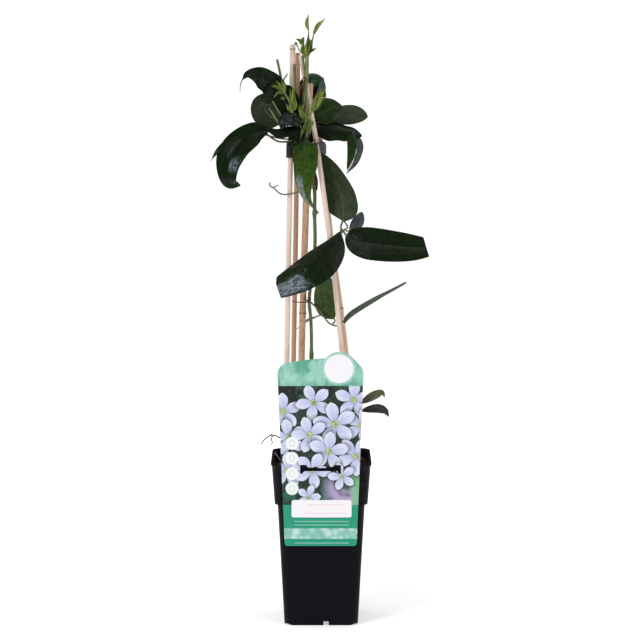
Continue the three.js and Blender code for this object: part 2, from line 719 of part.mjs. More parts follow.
        first: 1.7, last: 1.2, steps: 10 },
      { line: [[-16.5, -17, 634], [-20, -17, 641.5], [-21.5, -17, 652.5]], first: 1.1, last: 0.7 },
      { line: [[-20, -17, 639.5], [-24.5, -19, 645], [-27.5, -20, 651.5]], first: 0.7, last: 0.6 },
      { line: [[-14.5, -16, 645], [-14, -17, 656], [-14, -17, 668]], first: 1, last: 0.6 },
      { line: [[-12, -15, 651.5], [-9.5, -16, 657], [-8.5, -17, 662.5]], first: 1, last: 0.7 },
    ],
    blades: [
      { ...LEAFLET, line: [[-14, -17, 666], [-16, -18, 674.5], [-14, -19, 684]], half: 2.3 },
      { ...LEAFLET, line: [[-9, -17, 661], [-4.5, -19, 670], [4, -21, 679.5]], half: 2.5 },
      { ...LEAFLET, line: [[-21, -17, 650.5], [-21, -18, 655], [-19.5, -19, 659.5]], half: 2.2 },
      { ...LEAFLET, line: [[-22, -17, 650.5], [-23.5, -19, 655], [-28, -21, 657]], half: 2 },
      { ...LEAFLET, line: [[-26.5, -19.5, 649], [-28, -20, 652], [-29.5, -21, 653.5]], half: 1.4 },
      { ...LEAFLET, line: [[-14.5, -15.5, 641.5], [-10, -17, 644.5], [-5.5, -19, 647]], half: 1.7 },
      { ...LEAFLET, line: [[-14, -16, 638.5], [-12, -17, 647], [-9.5, -18, 655.5]], half: 2.4 },
      { ...LEAFLET, line: [[-16, -16, 640.5], [-15.5, -18, 650.5], [-14, -18, 660.5]], half: 1.8 },
    ],
  },
  shoot_left: {
    material: SHOOT_GREEN,
    stalks: [
      { line: [seat(569, 240, 0.4), [-24.5, -23, 568.5], [-31.5, -27, 576.5], [-32.5, -30, 585.5]],
          first: 1.3, last: 1.2 },
      { line: [[-31.5, -28, 578.5], [-36.5, -31, 591], [-42, -33, 599.5]], first: 1.1, last: 1.1 },
    ],
    blades: [
      { ...LEAFLET, line: [[-40, -32, 597.5], [-43.5, -34, 604], [-50, -36, 611]], half: 2.4 },
      { ...LEAFLET, line: [[-41, -32, 598.5], [-46.5, -36, 603], [-55.5, -39, 605.5]], half: 2.4 },
      { ...LEAFLET, line: [[-41, -32, 597.5], [-46.5, -36, 598.5], [-52, -38, 594]], half: 2 },
      { ...LEAFLET, line: [[-40, -32.5, 596], [-41, -35, 604], [-44, -36, 612]], half: 2.2 },
      { ...LEAFLET, line: [[-32.5, -29, 581], [-29.5, -31, 590], [-31.5, -32, 601.5]], half: 2.6 },
      { ...LEAFLET, line: [[-32.5, -29, 581], [-34, -32, 590], [-35.5, -32, 601.5]], half: 2.2 },
      { ...LEAFLET, line: [[-33, -28.5, 580], [-38, -33, 583], [-41, -35, 588.5]], half: 1.8 },
    ],
  },
  shoot_right: {
    material: SHOOT_GREEN,
    stalks: [
      { line: [seat(570, 300), [-13.5, -23.5, 571], [-7, -26, 585.5]], first: 1.5, last: 1.3 },
      { line: [[-16.5, -21.5, 566.5], [-18, -22.5, 573], [-17, -23, 580]], first: 1.5, last: 1.1 },
    ],
    blades: [
      { ...LEAFLET, line: [[-10, -25, 576.5], [-4, -27, 588.5], [0.5, -28, 603]], half: 3 },
      { ...LEAFLET, line: [[-9, -25, 577.5], [-2, -25, 589.5], [4.5, -24, 605]], half: 2.8 },
      { ...LEAFLET, line: [[-9, -25, 576.5], [-1.5, -27, 585.5], [6, -29, 596.5]], half: 2.5 },
      { ...LEAFLET, line: [[-11.5, -25, 575.5], [-9.5, -28, 585.5], [-5, -30, 595.5]], half: 2 },
      { ...LEAFLET, line: [[-18, -22.5, 570], [-21.5, -25, 577.5], [-19, -26, 586.5]], half: 2.6 },
      { ...LEAFLET, line: [[-18, -22.5, 571], [-14.5, -26, 576.5], [-13, -27, 585.5]], half: 2.4 },
      { ...LEAFLET, line: [[-18, -22, 567.5], [-22.5, -28, 572.5], [-24.5, -30, 582]], half: 2 },
      { ...LEAFLET, line: [[-16.5, -22, 566.5], [-12, -26, 566.5], [-9, -28, 561]], half: 2.4 },
      { ...LEAFLET, line: [[-16.5, -22, 566.5], [-15, -25, 557.5], [-16.5, -28, 548]], half: 2.4 },
    ],
  },
  stub_left: {
    material: STEM_GREEN,
    stalks: [
      { line: [seat(568, 165), [-35.5, -17.5, 578.5], [-42.5, -16, 603], [-46, -15, 620.5],
          [-49, -14, 634.5]], first: 1.3, last: 1.2, steps: 8 },
      { line: [[-40.5, -16, 596.5], [-40.5, -16, 607.5], [-38, -16, 615.5]], first: 0.9, last: 0.7 },
    ],
  },
  stub_upright: {
    material: STEM_GREEN,
    stalks: [{ line: [seat(573, 200), [-27.5, -18, 592], [-29, -17, 609.5], [-30, -16, 629.5]],
        first: 1.3, last: 1.5 }],
  },
  tendril_upper: {
    material: STEM_GREEN,
    stalks: [
      { line: [seat(492, 215), [-16, -17, 491], [-26, -22.5, 487.5], [-35, -23.5, 485.5],
          [-42.5, -24, 485], [-48, -24, 487.5], [-52.5, -24, 492], [-57, -24, 494.5], [-57, -24, 498.5]],
        first: 0.8, last: 0.6, sides: 5, steps: 22 },
      { line: [[-52, -24, 491.5], [-52, -24, 493.5], [-47.5, -25, 495.5]],
          first: 0.6, last: 0.5, sides: 5 },
    ],
  },
  tendril_node: {
    material: DRIED,
    stalks: [
      { line: [[-11.5, -12.5, 368], [-14.5, -13, 364], [-19, -9.5, 363], [-26, -7, 363],
          [-33, -7, 364.5]],
        first: 0.8, last: 0.5, sides: 5, steps: 10 },
      { line: [[-13, -13, 363.5], [-17.5, -13.5, 367], [-18, -13, 371.5]],
          first: 0.8, last: 0.7, sides: 5 },
    ],
  },
  shoot_low: {
    material: LEAF_DARK,
    stalks: [
      { line: [seat(196, 270), [-4, -24, 203], [8, -38, 220], [26, -47, 236], [41, -45, 244.5],
          [46.5, -44, 245]], first: 1.1, last: 0.9, steps: 14 },
      { line: [[20, -45.3, 232], [34.5, -46, 250.5], [45.5, -46, 254.5]], first: 0.9, last: 0.8 },
    ],
    blades: [
      { ...LEAFLET, line: [[43, -46, 253], [51, -47, 258], [60, -48, 263], [67.5, -48, 265.5],
          [71, -48, 260]], half: 4, taper: 1.3, steps: 7 },
      { ...LEAFLET, line: [[43.5, -44, 244.5], [53.5, -45, 246.5], [63.5, -46, 247.5], [71, -47, 245],
          [75.5, -47, 238.5]], half: 4.6, taper: 0.9, peak: 0.5, steps: 7 },
    ],
  },
  stalk_dried: {
    material: DRIED,
    stalks: [
      { line: [seat(188, 230), [-24, -26, 202], [-38, -44, 212], [-45.5, -44, 214],
          [-50.5, -44, 216.5], [-56, -44, 217], [-61.5, -44, 214], [-65.5, -44, 210],
          [-66.5, -44, 206.5]],
        first: 0.9, last: 0.6, sides: 5, steps: 18 },
      { line: [[-54.5, -44, 217], [-55.5, -44, 212], [-54.5, -44, 209], [-56, -44, 206.5]],
          first: 0.7, last: 0.5, sides: 5 },
      { line: [[-54, -44, 216], [-56.5, -44, 218.5]], first: 0.7, last: 0.6, sides: 5 },
    ],
  },
};

// ---------------------------------------------------------------- the whole
const part = new THREE.Group();
function place(name, solid, material) {
  const mesh = new THREE.Mesh(geometryOf(solid), material);
  mesh.name = name;
  part.add(mesh);
}

place("pot", potSolid(), POT_PLASTIC);
for (const [name, cane] of Object.entries(CANES)) place(name, caneSolid(cane), cane.material);
const stemHole = stalkSolid({
  ...STEM,
  line: [[-14, -14.2, 119.5], ...STEM.line.slice(1)],
  first: STEM.first + 2 * GAP,
  last: STEM.last + GAP,
});
const holes = fuse([...Object.values(CANES).map((cane) => caneSolid(cane, GAP)), stemHole]);
place("soil", soilSolid(holes), SOIL);
place("cane_clip", clipSolid(), CLIP_PLASTIC);
place("label", labelSolid(), LABEL_CARD);
for (const [name, piece] of Object.entries(PLANT)) place(name, plantSolid(piece), piece.material);

export default part;
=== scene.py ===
"""Looks of a young evergreen climber in a tall square pot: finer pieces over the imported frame."""

import math
import random

import bpy
from bpy.props import FloatProperty, FloatVectorProperty, IntProperty, PointerProperty
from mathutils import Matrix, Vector


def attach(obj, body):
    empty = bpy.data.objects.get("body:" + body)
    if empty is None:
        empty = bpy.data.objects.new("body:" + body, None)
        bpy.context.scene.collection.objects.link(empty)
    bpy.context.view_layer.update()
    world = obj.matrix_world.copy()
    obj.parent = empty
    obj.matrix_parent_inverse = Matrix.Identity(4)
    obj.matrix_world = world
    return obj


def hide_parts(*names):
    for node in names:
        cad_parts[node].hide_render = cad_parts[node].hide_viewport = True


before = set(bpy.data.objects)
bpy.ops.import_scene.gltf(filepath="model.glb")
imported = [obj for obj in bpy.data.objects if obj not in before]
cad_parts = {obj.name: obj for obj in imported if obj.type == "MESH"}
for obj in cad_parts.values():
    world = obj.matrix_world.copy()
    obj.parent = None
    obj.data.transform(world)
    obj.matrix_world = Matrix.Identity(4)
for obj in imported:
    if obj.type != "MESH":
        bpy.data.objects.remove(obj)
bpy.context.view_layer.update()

bl_info = {
    "name": "Potted climber",
    "version": (1, 0, 0),
    "blender": (4, 5, 0),
    "location": "View3D > Sidebar > Climber",
    "description": "Builds the looks of a potted young climber with canes, clip and hanging label",
    "category": "Add Mesh",
}

MM = 0.001


# ---------------------------------------------------------------- lines and outlines
def vectors(points):
    """Points in millimetres as vectors."""
    return [Vector(point) for point in points]


def clamp(value):
    """The value kept between 0 and 1."""
    return max(0.0, min(1.0, value))


def lerp(a, b, t):
    """The value at t on the way from a, at 0, to b, at 1."""
    return a + (b - a) * t


def along(points, t):
    """The point at t, from 0 to 1, of the smooth line through points."""
    last = len(points) - 1
    place = clamp(t) * last
    index = min(int(place), last - 1)
    u = place - index
    start, end = points[index], points[index + 1]
    before = points[index - 1] if index else 2 * start - end
    after = points[index + 2] if index + 2 <= last else 2 * end - start
    leave, arrive = (end - before) / 2, (after - start) / 2
    return (
        (2 * u**3 - 3 * u**2 + 1) * start
        + (u**3 - 2 * u**2 + u) * leave
        + (3 * u**2 - 2 * u**3) * end
        + (u**3 - u**2) * arrive
    )


def heading(points, t):
    """The unit direction of the smooth line at t."""
    step = 1e-3
    return (along(points, min(t + step, 1.0)) - along(points, max(t - step, 0.0))).normalized()


def at_height(points, z):
    """The point of a rising line at height z, found by halving."""
    low, high = 0.0, 1.0
    for _ in range(24):
        middle = (low + high) / 2
        if along(points, middle).z < z:
            low = middle
        else:
            high = middle
    return along(points, (low + high) / 2)


# ---------------------------------------------------------------- shader maths
def shade(red, green, blue):
    """A colour read off a screen, 0 to 255 a channel, as a scene-linear colour."""
    linear = []
    for channel in (red, green, blue):
        value = channel / 255
        linear.append(value / 12.92 if value <= 0.04045 else ((value + 0.055) / 1.055) ** 2.4)
    return (*linear, 1.0)


class Wire:
    """A shader value that takes part in plain arithmetic; each sum adds its own Math node."""

    def __init__(self, finish, socket):
        self.finish = finish
        self.socket = socket

    def maths(self, operation, *values):
        return self.finish.node("Math", {"operation": operation}, dict(enumerate(values)))

    def __add__(self, other):
        return self.maths("ADD", self, other)

    __radd__ = __add__

    def __sub__(self, other):
        return self.maths("SUBTRACT", self, other)

    def __rsub__(self, other):
        return self.maths("SUBTRACT", other, self)

    def __mul__(self, other):
        return self.maths("MULTIPLY", self, other)

    __rmul__ = __mul__

    def __truediv__(self, other):
        return self.maths("DIVIDE", self, other)

    def __pow__(self, other):
        return self.maths("POWER", self, other)

    def __abs__(self):
        return self.maths("ABSOLUTE", self)

    def fraction(self):
        return self.maths("FRACT", self)

    def sine(self):
        return self.maths("SINE", self)

    def cosine(self):
        return self.maths("COSINE", self)

    def root(self):
        return self.maths("SQRT", self)

    def least(self, other):
        return self.maths("MINIMUM", self, other)

    def most(self, other):
        return self.maths("MAXIMUM", self, other)

    def step(self, low, high):
        """0 at low and 1 at high, smooth between; low may be the larger."""
        values = {"Value": self, "From Min": low, "From Max": high}
        return self.finish.node("MapRange", {"interpolation_type": "SMOOTHSTEP"}, values)


class Finish:
    """A procedural material: a Principled shader, and the calls that add nodes before it."""

    def __init__(self, name, **constants):
        self.material = bpy.data.materials.new(name)
        self.material.use_nodes = True
        self.tree = self.material.node_tree
        self.shader = self.tree.nodes["Principled BSDF"]
        for words, value in constants.items():
            self.socket(words).default_value = value

    def socket(self, words):
        """The Principled shader's input, named with underscores for blanks."""
        return self.shader.inputs[words.replace("_", " ").title().replace("Ior", "IOR")]

    def feed(self, **wires):
        """Links wires to the Principled shader's inputs."""
        for words, wire in wires.items():
            self.tree.links.new(wire.socket, self.socket(words))

    def node(self, kind, settings=None, values=None, output=0):
        """Adds a shader node by its type, sets it up, links or fills its inputs, and returns one output."""
        made = self.tree.nodes.new("ShaderNode" + kind)
        for key, value in (settings or {}).items():
            setattr(made, key, value)
        for key, value in (values or {}).items():
            if isinstance(value, Wire):
                self.tree.links.new(value.socket, made.inputs[key])
            else:
                made.inputs[key].default_value = value
        return Wire(self, made.outputs[output])

    def split(self, vector):
        """The three numbers of a vector."""
        parts = self.tree.nodes.new("ShaderNodeSeparateXYZ")
        self.tree.links.new(vector.socket, parts.inputs[0])
        return [Wire(self, out) for out in parts.outputs]

    def place(self):
        """The piece's own coordinates in millimetres, as one vector."""
        here = self.node("TexCoord", output="Object")
        return self.node("VectorMath", {"operation": "SCALE"}, {0: here, "Scale": 1 / MM})

    def shares(self):
        """How far along and how far across a leaf or stalk a place lies, both 0 to 1, from its own map."""
        return self.split(self.node("TexCoord", output="UV"))[:2]

    def stretched(self, vector, x, y, z):
        return self.node("Mapping", values={"Vector": vector, "Scale": (x, y, z)})

    def noise(self, vector, scale, detail=2.0, rough=0.5, warp=0.0):
        values = {"Vector": vector, "Scale": scale, "Detail": detail, "Roughness": rough, "Distortion": warp}
        return self.node("TexNoise", values=values)

    def cells(self, vector, scale, output=0):
        return self.node("TexVoronoi", values={"Vector": vector, "Scale": scale}, output=output)

    def mix(self, share, first, second):
        """A colour between first and second; either may be a wire or a colour."""
        made = self.tree.nodes.new("ShaderNodeMix")
        made.data_type = "RGBA"
        made.clamp_factor = True
        ends = [socket for socket in made.inputs if socket.type == "RGBA"]
        for socket, value in ((made.inputs[0], share), (ends[0], first), (ends[1], second)):
            if isinstance(value, Wire):
                self.tree.links.new(value.socket, socket)
            else:
                socket.default_value = value
        return Wire(self, next(socket for socket in made.outputs if socket.type == "RGBA"))

    def done(self, colour, roughness, height, depth, strength=1.0):
        """Feeds colour, roughness and a bump from a height of 0 to 1 that stands for depth in millimetres."""
        relief = {"Height": height, "Distance": depth * MM, "Strength": strength}
        self.feed(base_color=colour, roughness=roughness, normal=self.node("Bump", values=relief))
        return self.material


def distance(x, z, middle, unit=1.0):
    """How far a place lies from a middle, counted in units."""
    dx, dz = (x - middle[0]) / unit, (z - middle[1]) / unit
    return (dx * dx + dz * dz).root()


def bearing(x, z, middle):
    """The angle at which a place lies from a middle."""
    return x.maths("ARCTAN2", z - middle[1], x - middle[0])


# ---------------------------------------------------------------- finishes
VEIN_GAP = 8.5  # between a leaf's side veins, mm
STEM_RIBS = 6


def pot_plastic(dark):
    """Black moulded plastic: faint orange peel, dust on the collar, a long pale diagonal line inside one wall.
    """
    look = Finish("pot_plastic", specular_ior_level=0.08)
    spot = look.place()
    x, y, z = look.split(spot)
    peel = look.noise(spot, 1.6, 3.0)
    streaks = look.noise(look.stretched(spot, 0.9, 0.9, 0.03), 1.0, 4.0, 0.6)
    dust = look.noise(spot, 0.06, 6.0, 0.62).step(0.5, 0.75) * z.step(120, 185) * 0.5
    black = look.mix(streaks.step(0.35, 0.8), dark, shade(12, 11, 19))
    out_x, out_y = look.split(look.node("NewGeometry", output="True Normal"))[:2]
    inside = (x * out_x + y * out_y).step(-2, -8)
    off_line = abs(x * 0.85 + z * 0.53 - 51.5 + (streaks - 0.5) * 1.5)
    pale_line = off_line.step(0.9, 0.3) * y.step(20, 40) * x.step(-44, -46) * z.step(170, 173)
    black = look.mix(pale_line * inside, black, shade(186, 184, 192))
    return look.done(
        look.mix(dust, black, shade(58, 56, 56)),
        roughness=0.38 + streaks * 0.16 + dust * 0.3,
        height=peel * 0.5 + streaks * 0.5, depth=0.08, strength=0.6,
    )


def compost():
    """Bark compost: dark crumbs with browner chips."""
    look = Finish("compost", specular_ior_level=0.2)
    spot = look.place()
    crumbs = look.cells(spot, 0.45)
    tone = look.noise(spot, 0.2, 5.0, 0.65)
    dark = look.mix(tone.step(0.35, 0.7), shade(34, 24, 18), shade(88, 60, 42))
    return look.done(
        look.mix(crumbs.step(0.1, 0.9) * 0.5, dark, shade(24, 17, 13)),
        roughness=0.85 + tone * 0.12,
        height=crumbs + tone, depth=1.2,
    )


def bark():
    """Bark chips with a fibrous brown face, each patch in a brown of its own."""
    look = Finish("bark_chips", specular_ior_level=0.25)
    spot = look.place()
    fibre = look.noise(look.stretched(spot, 1.2, 0.25, 0.6), 1.0, 5.0, 0.65)
    tint = look.split(look.cells(spot, 0.09, output=1))[0]
    brown = look.mix(tint, shade(70, 44, 30), shade(142, 98, 66))
    return look.done(
        look.mix(fibre.step(0.3, 0.7) * 0.7, brown, shade(46, 31, 24)),
        roughness=0.7 + fibre * 0.25,
        height=fibre, depth=0.5,
    )


def bamboo(name, pale, deep, rings, specks):
    """Dry bamboo: long fibres, a dark scar and a deeper glow at each ring, brown specks and a waxy sheen."""
    look = Finish(name, specular_ior_level=0.4)
    spot = look.place()
    z = look.split(spot)[2]
    fibre = look.noise(look.stretched(spot, 3.2, 3.2, 0.045), 1.0, 5.0, 0.6)
    cloud = look.noise(look.stretched(spot, 0.25, 0.25, 0.03), 1.0, 3.0)
    stain = look.noise(look.stretched(spot, 1.0, 1.0, 0.25), 0.55, 4.0, 0.7).step(0.62 - 0.1 * specks, 0.74)
    from_rings = [abs(z - ring) for ring in rings]
    scar = sum(far.step(1.3, 0.25) for far in from_rings).least(1.0)
    glow = sum(far.step(14.0, 2.0) for far in from_rings).least(1.0)
    body = look.mix(fibre.step(0.3, 0.75) * 0.55 + cloud * 0.35, pale, deep)
    body = look.mix(glow * 0.35, body, deep)
    body = look.mix(stain * specks, body, shade(104, 66, 42))
    return look.done(
        look.mix(scar * 0.6, body, shade(92, 62, 44)),
        roughness=0.4 + fibre * 0.25 + scar * 0.2,
        height=fibre * 0.8 + stain * 0.2, depth=0.12, strength=0.7,
    )


def clip_plastic():
    """Grey-black clip plastic, satin, greyer at its right end, with wear on its edges."""
    look = Finish("clip_plastic", specular_ior_level=0.5)
    spot = look.place()
    grain = look.noise(spot, 1.2, 4.0, 0.6)
    worn = look.node("NewGeometry", output="Pointiness").step(0.5, 0.62)
    right = look.split(spot)[0].step(-12, -4)
    dark = look.mix(right, shade(14, 15, 22), shade(40, 43, 45))
    black = look.mix(grain, dark, look.mix(right, shade(36, 37, 46), shade(76, 80, 82)))
    return look.done(
        look.mix(worn * 0.4, black, shade(96, 99, 102)),
        roughness=0.35 + grain * 0.2,
        height=grain, depth=0.05, strength=0.6,
    )


def leaf_map(look, length, width):
    """A leaf's own map in mm, its shares along and off the midrib, a slow noise and how far its veins are.

    One vein arches along each half; the side veins leave the midrib at an angle.
    """
    u, v = look.shares()
    spot = look.node("CombineXYZ", values={0: u * length, 1: v * width})
    off = abs(v - 0.5) * 2.0
    wander = look.noise(spot, 0.09, 2.0)
    arch = abs(off - 0.5 * (u * math.pi).sine())
    lace = abs((u * (length / VEIN_GAP) - off * 1.4 + wander * 1.5).fraction() - 0.5)
    return spot, u, v, off, wander, arch, lace


def leaf_upper(name, tone, length, width, crumple, bloom, shine):
    """The upper face of an evergreen leaf: a sunk midrib, faint veins, broad folds and gloss.

    bloom is where a pale painted highlight lies, standing for the lamps' glare on the leaf: from one share
    of the length to another, the side it keeps to, and how strong it is.
    """
    look = Finish(name, specular_ior_level=shine)
    spot, u, v, off, wander, arch, lace = leaf_map(look, length, width)
    ribbon = off.step(0.06, 0.01)
    vein = arch.step(0.045, 0.0) * u.step(0.03, 0.15) * u.step(0.97, 0.8)
    side = lace.step(0.1, 0.0) * off.step(0.0, 0.25)
    folds = look.noise(spot, 0.075, 2.0, 0.5, 0.4)
    dimples = look.noise(spot, 0.33, 3.0, 0.55)
    mottle = look.noise(spot, 0.16, 4.0, 0.6)
    dark, light = tone
    green = look.mix(mottle * 1.2 - 0.35 + u * 0.5, dark, light)
    green = look.mix(ribbon * 0.5 + vein * 0.16 + side * 0.08, green, light)
    # Painted highlight: a pale streaky patch laid into the colour for the lamps' glare on the leaf.
    if bloom:
        low, high, way, strength = bloom
        reach = (u + wander * 0.3 - 0.15).step(low, low + 0.14) * u.step(high, high - 0.1)
        half = (v - 0.5).step(0.05 * way, 0.12 * way) * off.step(0.98, 0.8)
        crease = look.noise(look.stretched(spot, 1.0, 2.2, 1.0), 0.2, 3.0, 0.6, 0.7)
        glare_share = reach * half * strength * (crease.step(0.34, 0.66) * 0.85 + 0.1)
        green = look.mix(glare_share, green, shade(136, 148, 156))
    height = folds * 0.8 + dimples * (0.03 + 0.3 * crumple) - ribbon * 0.28 - vein * 0.1 - side * 0.05
    return look.done(
        green,
        roughness=0.2 + mottle * 0.16,
        height=height, depth=1.1 + 0.8 * crumple, strength=0.8,
    )


def leaf_lower(name, tone, length, width):
    """The underside of a leaf: paler, satin, with a few raised veins along it."""
    look = Finish(name, specular_ior_level=0.3)
    spot, u, _, off, _, arch, lace = leaf_map(look, length, width)
    ribbon = off.step(0.05, 0.01)
    vein = arch.step(0.04, 0.0) * u.step(0.97, 0.7)
    side = lace.step(0.09, 0.0) * off.step(0.0, 0.25)
    mottle = look.noise(spot, 0.14, 5.0, 0.6)
    olive = look.mix(mottle.step(0.3, 0.75), *tone)
    lines = ribbon * u.step(0.8, 0.1) * 0.8 + vein * 0.12 + side * 0.05
    return look.done(
        look.mix(lines, olive, shade(86, 98, 56)),
        roughness=0.42 + mottle * 0.2,
        height=ribbon * 0.5 + vein * 0.25 + side * 0.12 + mottle * 0.6, depth=0.5, strength=0.8,
    )


def stem_skin(name, dark, light):
    """Green bark of a young stem, ribbed along its length, with brown flecks."""
    look = Finish(name, specular_ior_level=0.35)
    spot = look.place()
    across = look.shares()[1]
    ribs = (across * (STEM_RIBS * math.tau)).sine() * 0.5 + 0.5
    mottle = look.noise(look.stretched(spot, 0.5, 0.5, 0.12), 1.0, 4.0, 0.6)
    flecks = look.noise(spot, 0.8, 3.0, 0.7).step(0.62, 0.72)
    green = look.mix(mottle.step(0.3, 0.7) * 0.7 + ribs * 0.3, dark, light)
    return look.done(
        look.mix(flecks * 0.35, green, (0.08, 0.05, 0.03, 1.0)),
        roughness=0.45 + mottle * 0.2,
        height=ribs * 0.6 + mottle * 0.4, depth=0.15, strength=0.7,
    )


def young_leaf(name, dark, light):
    """Soft fresh green of the shoots' leaflets, lighter along the middle and deeper at the rim."""
    look = Finish(name, specular_ior_level=0.35)
    off = abs(look.shares()[1] - 0.5) * 2.0
    mottle = look.noise(look.place(), 0.5, 4.0, 0.6)
    ribbon = off.step(0.2, 0.0)
    return look.done(
        look.mix(mottle.step(0.3, 0.7) * 0.3 + ribbon * 0.4 + (1.0 - off) * 0.3, dark, light),
        roughness=0.4 + mottle * 0.2,
        height=mottle - ribbon * 0.5, depth=0.15, strength=0.6,
    )


def dried_skin():
    """Dead brown stalk, wrinkled along its length."""
    look = Finish("dried_brown", specular_ior_level=0.25)
    wrinkle = look.noise(look.place(), 1.1, 5.0, 0.7)
    return look.done(
        look.mix(wrinkle.step(0.3, 0.7), shade(52, 38, 30), shade(112, 80, 58)),
        roughness=0.75 + wrinkle * 0.2,
        height=wrinkle, depth=0.35,
    )


# ---------------------------------------------------------------- the label's print, in mm on its face
LABEL_Y = -57.6  # the middle of the sheet's thickness
HEAD_FOOT, PICTURE_FOOT = 274.5, 140.8
PALE_BAND = (102.5, 114.4)
PALE_BARS, ROSE_BARS = (121.6, 117.6, 97.2), ((140.4, -14, 26), (131.0, -20, 28))
PANEL = (-33.1, 33.8, 126.7, 146.4)
TAB_PRINT = (19.7, 293.7)
DISCS = [(-32.5, 210.1), (-32.5, 193.4), (-32.5, 176.0), (-32.5, 159.2)]

# Each flower's middle (x, z), its radius and its turn, in petals on the picture and in radians on the head.
PETALS = 5
FLOWERS = [
    (-42, 246, 21, 0.2), (36, 259, 22, 1.3), (44, 230, 22, 0.5), (-8, 256, 21, 0.9), (-36, 217, 21, 1.1),
    (15, 232, 25, 0.1), (38, 196, 23, 0.7), (-13, 220, 21, 2.0), (8, 201, 23, 0.35), (-38, 180, 21, 0.3),
    (-10, 180, 21, 1.6), (23, 173, 16, 1.0), (-14, 150, 14, 0.5),
]
HEAD_FLOWERS = [(-2, 290, 16, 0.4), (-34, 279, 12, 1.0)]


def round_box(x, z, left, right, low, high, corner):
    """A mask of a box with rounded corners on the label."""
    dx = (abs(x - (left + right) / 2) - ((right - left) / 2 - corner)).most(0.0)
    dz = (abs(z - (low + high) / 2) - ((high - low) / 2 - corner)).most(0.0)
    return (dx * dx + dz * dz).root().step(corner + 0.2, corner - 0.2)


def over(height, soft=0.2):
    """The two ends of a soft step up at a height; reversed, they make a step down."""
    return height - soft, height + soft


def paint_flower(look, picture, x, z, flower, grain):
    """Adds one flower of broad pointed petals over the picture so far."""
    *middle, radius, turn = flower
    reach = distance(x, z, middle, radius)
    angle = bearing(x, z, middle)
    share = (angle * (PETALS / math.tau) + turn + 8.0).fraction() - 0.5
    across = abs(share) * 2.0
    rough = grain - 0.5
    edge = 1.0 - across * 0.34 - across ** 4 * 0.4 + rough * 0.08
    picture = look.mix((reach - edge).step(0.3, -0.02) * 0.6, picture, shade(16, 26, 22))
    crease = abs(share + rough * 0.05).step(0.06, 0.0) * 0.2
    depth = reach * 0.75 - crease + rough * 0.5 + share * 0.35
    tone = look.mix(depth, shade(176, 184, 224), shade(240, 242, 255))
    tone = look.mix(across.step(0.8, 1.0) * 0.7, tone, shade(120, 126, 172))
    picture = look.mix((edge - reach).step(-0.012, 0.02), picture, tone)
    picture = look.mix(reach.step(0.26, 0.12) * 0.6, picture, shade(150, 160, 120))
    rays = (angle * 14.0).sine() * 0.06
    heart = look.mix(grain.step(0.35, 0.6), shade(104, 124, 52), shade(206, 212, 150))
    return look.mix((reach + rays).step(0.17, 0.12), picture, heart)


def label_print(mint, green):
    """Printed plastic sheet: a mint head band, a generic picture of pale flowers, and green bands below."""
    look = Finish("label_print", specular_ior_level=0.4)
    spot = look.place()
    x, y, z = look.split(spot)
    grain = look.noise(spot, 0.22, 4.0, 0.6)
    fine = look.noise(spot, 0.7, 3.0, 0.6)
    leaves = look.noise(spot, 0.07, 3.0, 0.5, 1.2)
    ground = look.mix(leaves.step(0.42, 0.62), shade(16, 24, 20), shade(44, 82, 62))
    ground = look.mix(z.step(175, 150) * leaves.step(0.35, 0.6), ground, shade(20, 98, 76))
    blur = look.noise(spot, 0.045, 2.0).step(0.4, 0.6) * z.step(186, 160) * x.step(-4, 16)
    picture = look.mix(blur, ground, shade(176, 158, 200))
    picture = look.mix(z.step(186, 172) * x.step(29, 39) * 0.8, picture, shade(112, 192, 120))
    for flower in FLOWERS:
        picture = paint_flower(look, picture, x, z, flower, fine)
    wash = look.noise(look.stretched(spot, 1.0, 1.0, 0.4), 0.06, 3.0, 0.6).step(0.4, 0.62)
    head = look.mix(wash, mint, shade(150, 206, 192))
    head = look.mix(z.step(282, 275) * 0.4, head, shade(70, 140, 116))
    for *middle, radius, turn in HEAD_FLOWERS:
        lobe = abs((bearing(x, z, middle) * (PETALS / 2) + turn).cosine())
        petal = (lobe ** 0.5 * 0.6 + 0.38 - distance(x, z, middle, radius)).step(-0.03, 0.03)
        head = look.mix(petal * 0.5, head, shade(172, 222, 206))
    pale = look.mix(look.cells(spot, 0.11).step(0.2, 0.7), shade(196, 226, 220), shade(130, 192, 178))
    above_picture = z.step(*over(HEAD_FOOT))
    sheet = look.mix(above_picture, picture, head)
    band = look.mix(grain * 0.4, green, shade(30, 166, 134))
    sheet = look.mix(z.step(*reversed(over(PICTURE_FOOT, 0.3))), sheet, band)
    foot, top = PALE_BAND
    sheet = look.mix(z.step(*reversed(over(top))) * z.step(*over(foot)), sheet, pale)
    for middle in DISCS:
        far = distance(x, z, middle)
        disc = look.mix(abs(far - 3.2).step(0.7, 0.25) * 0.3, shade(240, 245, 244), shade(120, 168, 160))
        sheet = look.mix(far.step(7.4, 7.0), sheet, disc)
    sheet = look.mix(round_box(x, z, *PANEL, 2.6), sheet, shade(246, 242, 246))
    for low, left, right in ROSE_BARS:
        sheet = look.mix(round_box(x, z, left, right, low, low + 0.9, 0.4) * 0.5, sheet, shade(226, 170, 196))
    for low in PALE_BARS:
        sheet = look.mix(round_box(x, z, -30, 31, low, low + 1.1, 0.5) * 0.45, sheet, shade(190, 230, 214))
    from_tab = distance(x, z, TAB_PRINT)
    sheet = look.mix(from_tab.step(18.8, 18.4) * above_picture * 0.5, sheet, shade(190, 228, 218))
    sheet = look.mix(from_tab.step(16.3, 15.8), sheet, shade(246, 244, 248))
    return look.done(
        look.mix(y.step(LABEL_Y - 0.1, LABEL_Y + 0.1), sheet, shade(236, 238, 236)),
        roughness=0.34 + fine * 0.12,
        height=grain, depth=0.04, strength=0.4,
    )


# ---------------------------------------------------------------- mesh helpers
def pick(*pieces):
    """Selects these pieces and nothing else, and makes the first one active."""
    bpy.ops.object.select_all(action="DESELECT")
    for piece in pieces:
        piece.select_set(True)
    bpy.context.view_layer.objects.active = pieces[0]


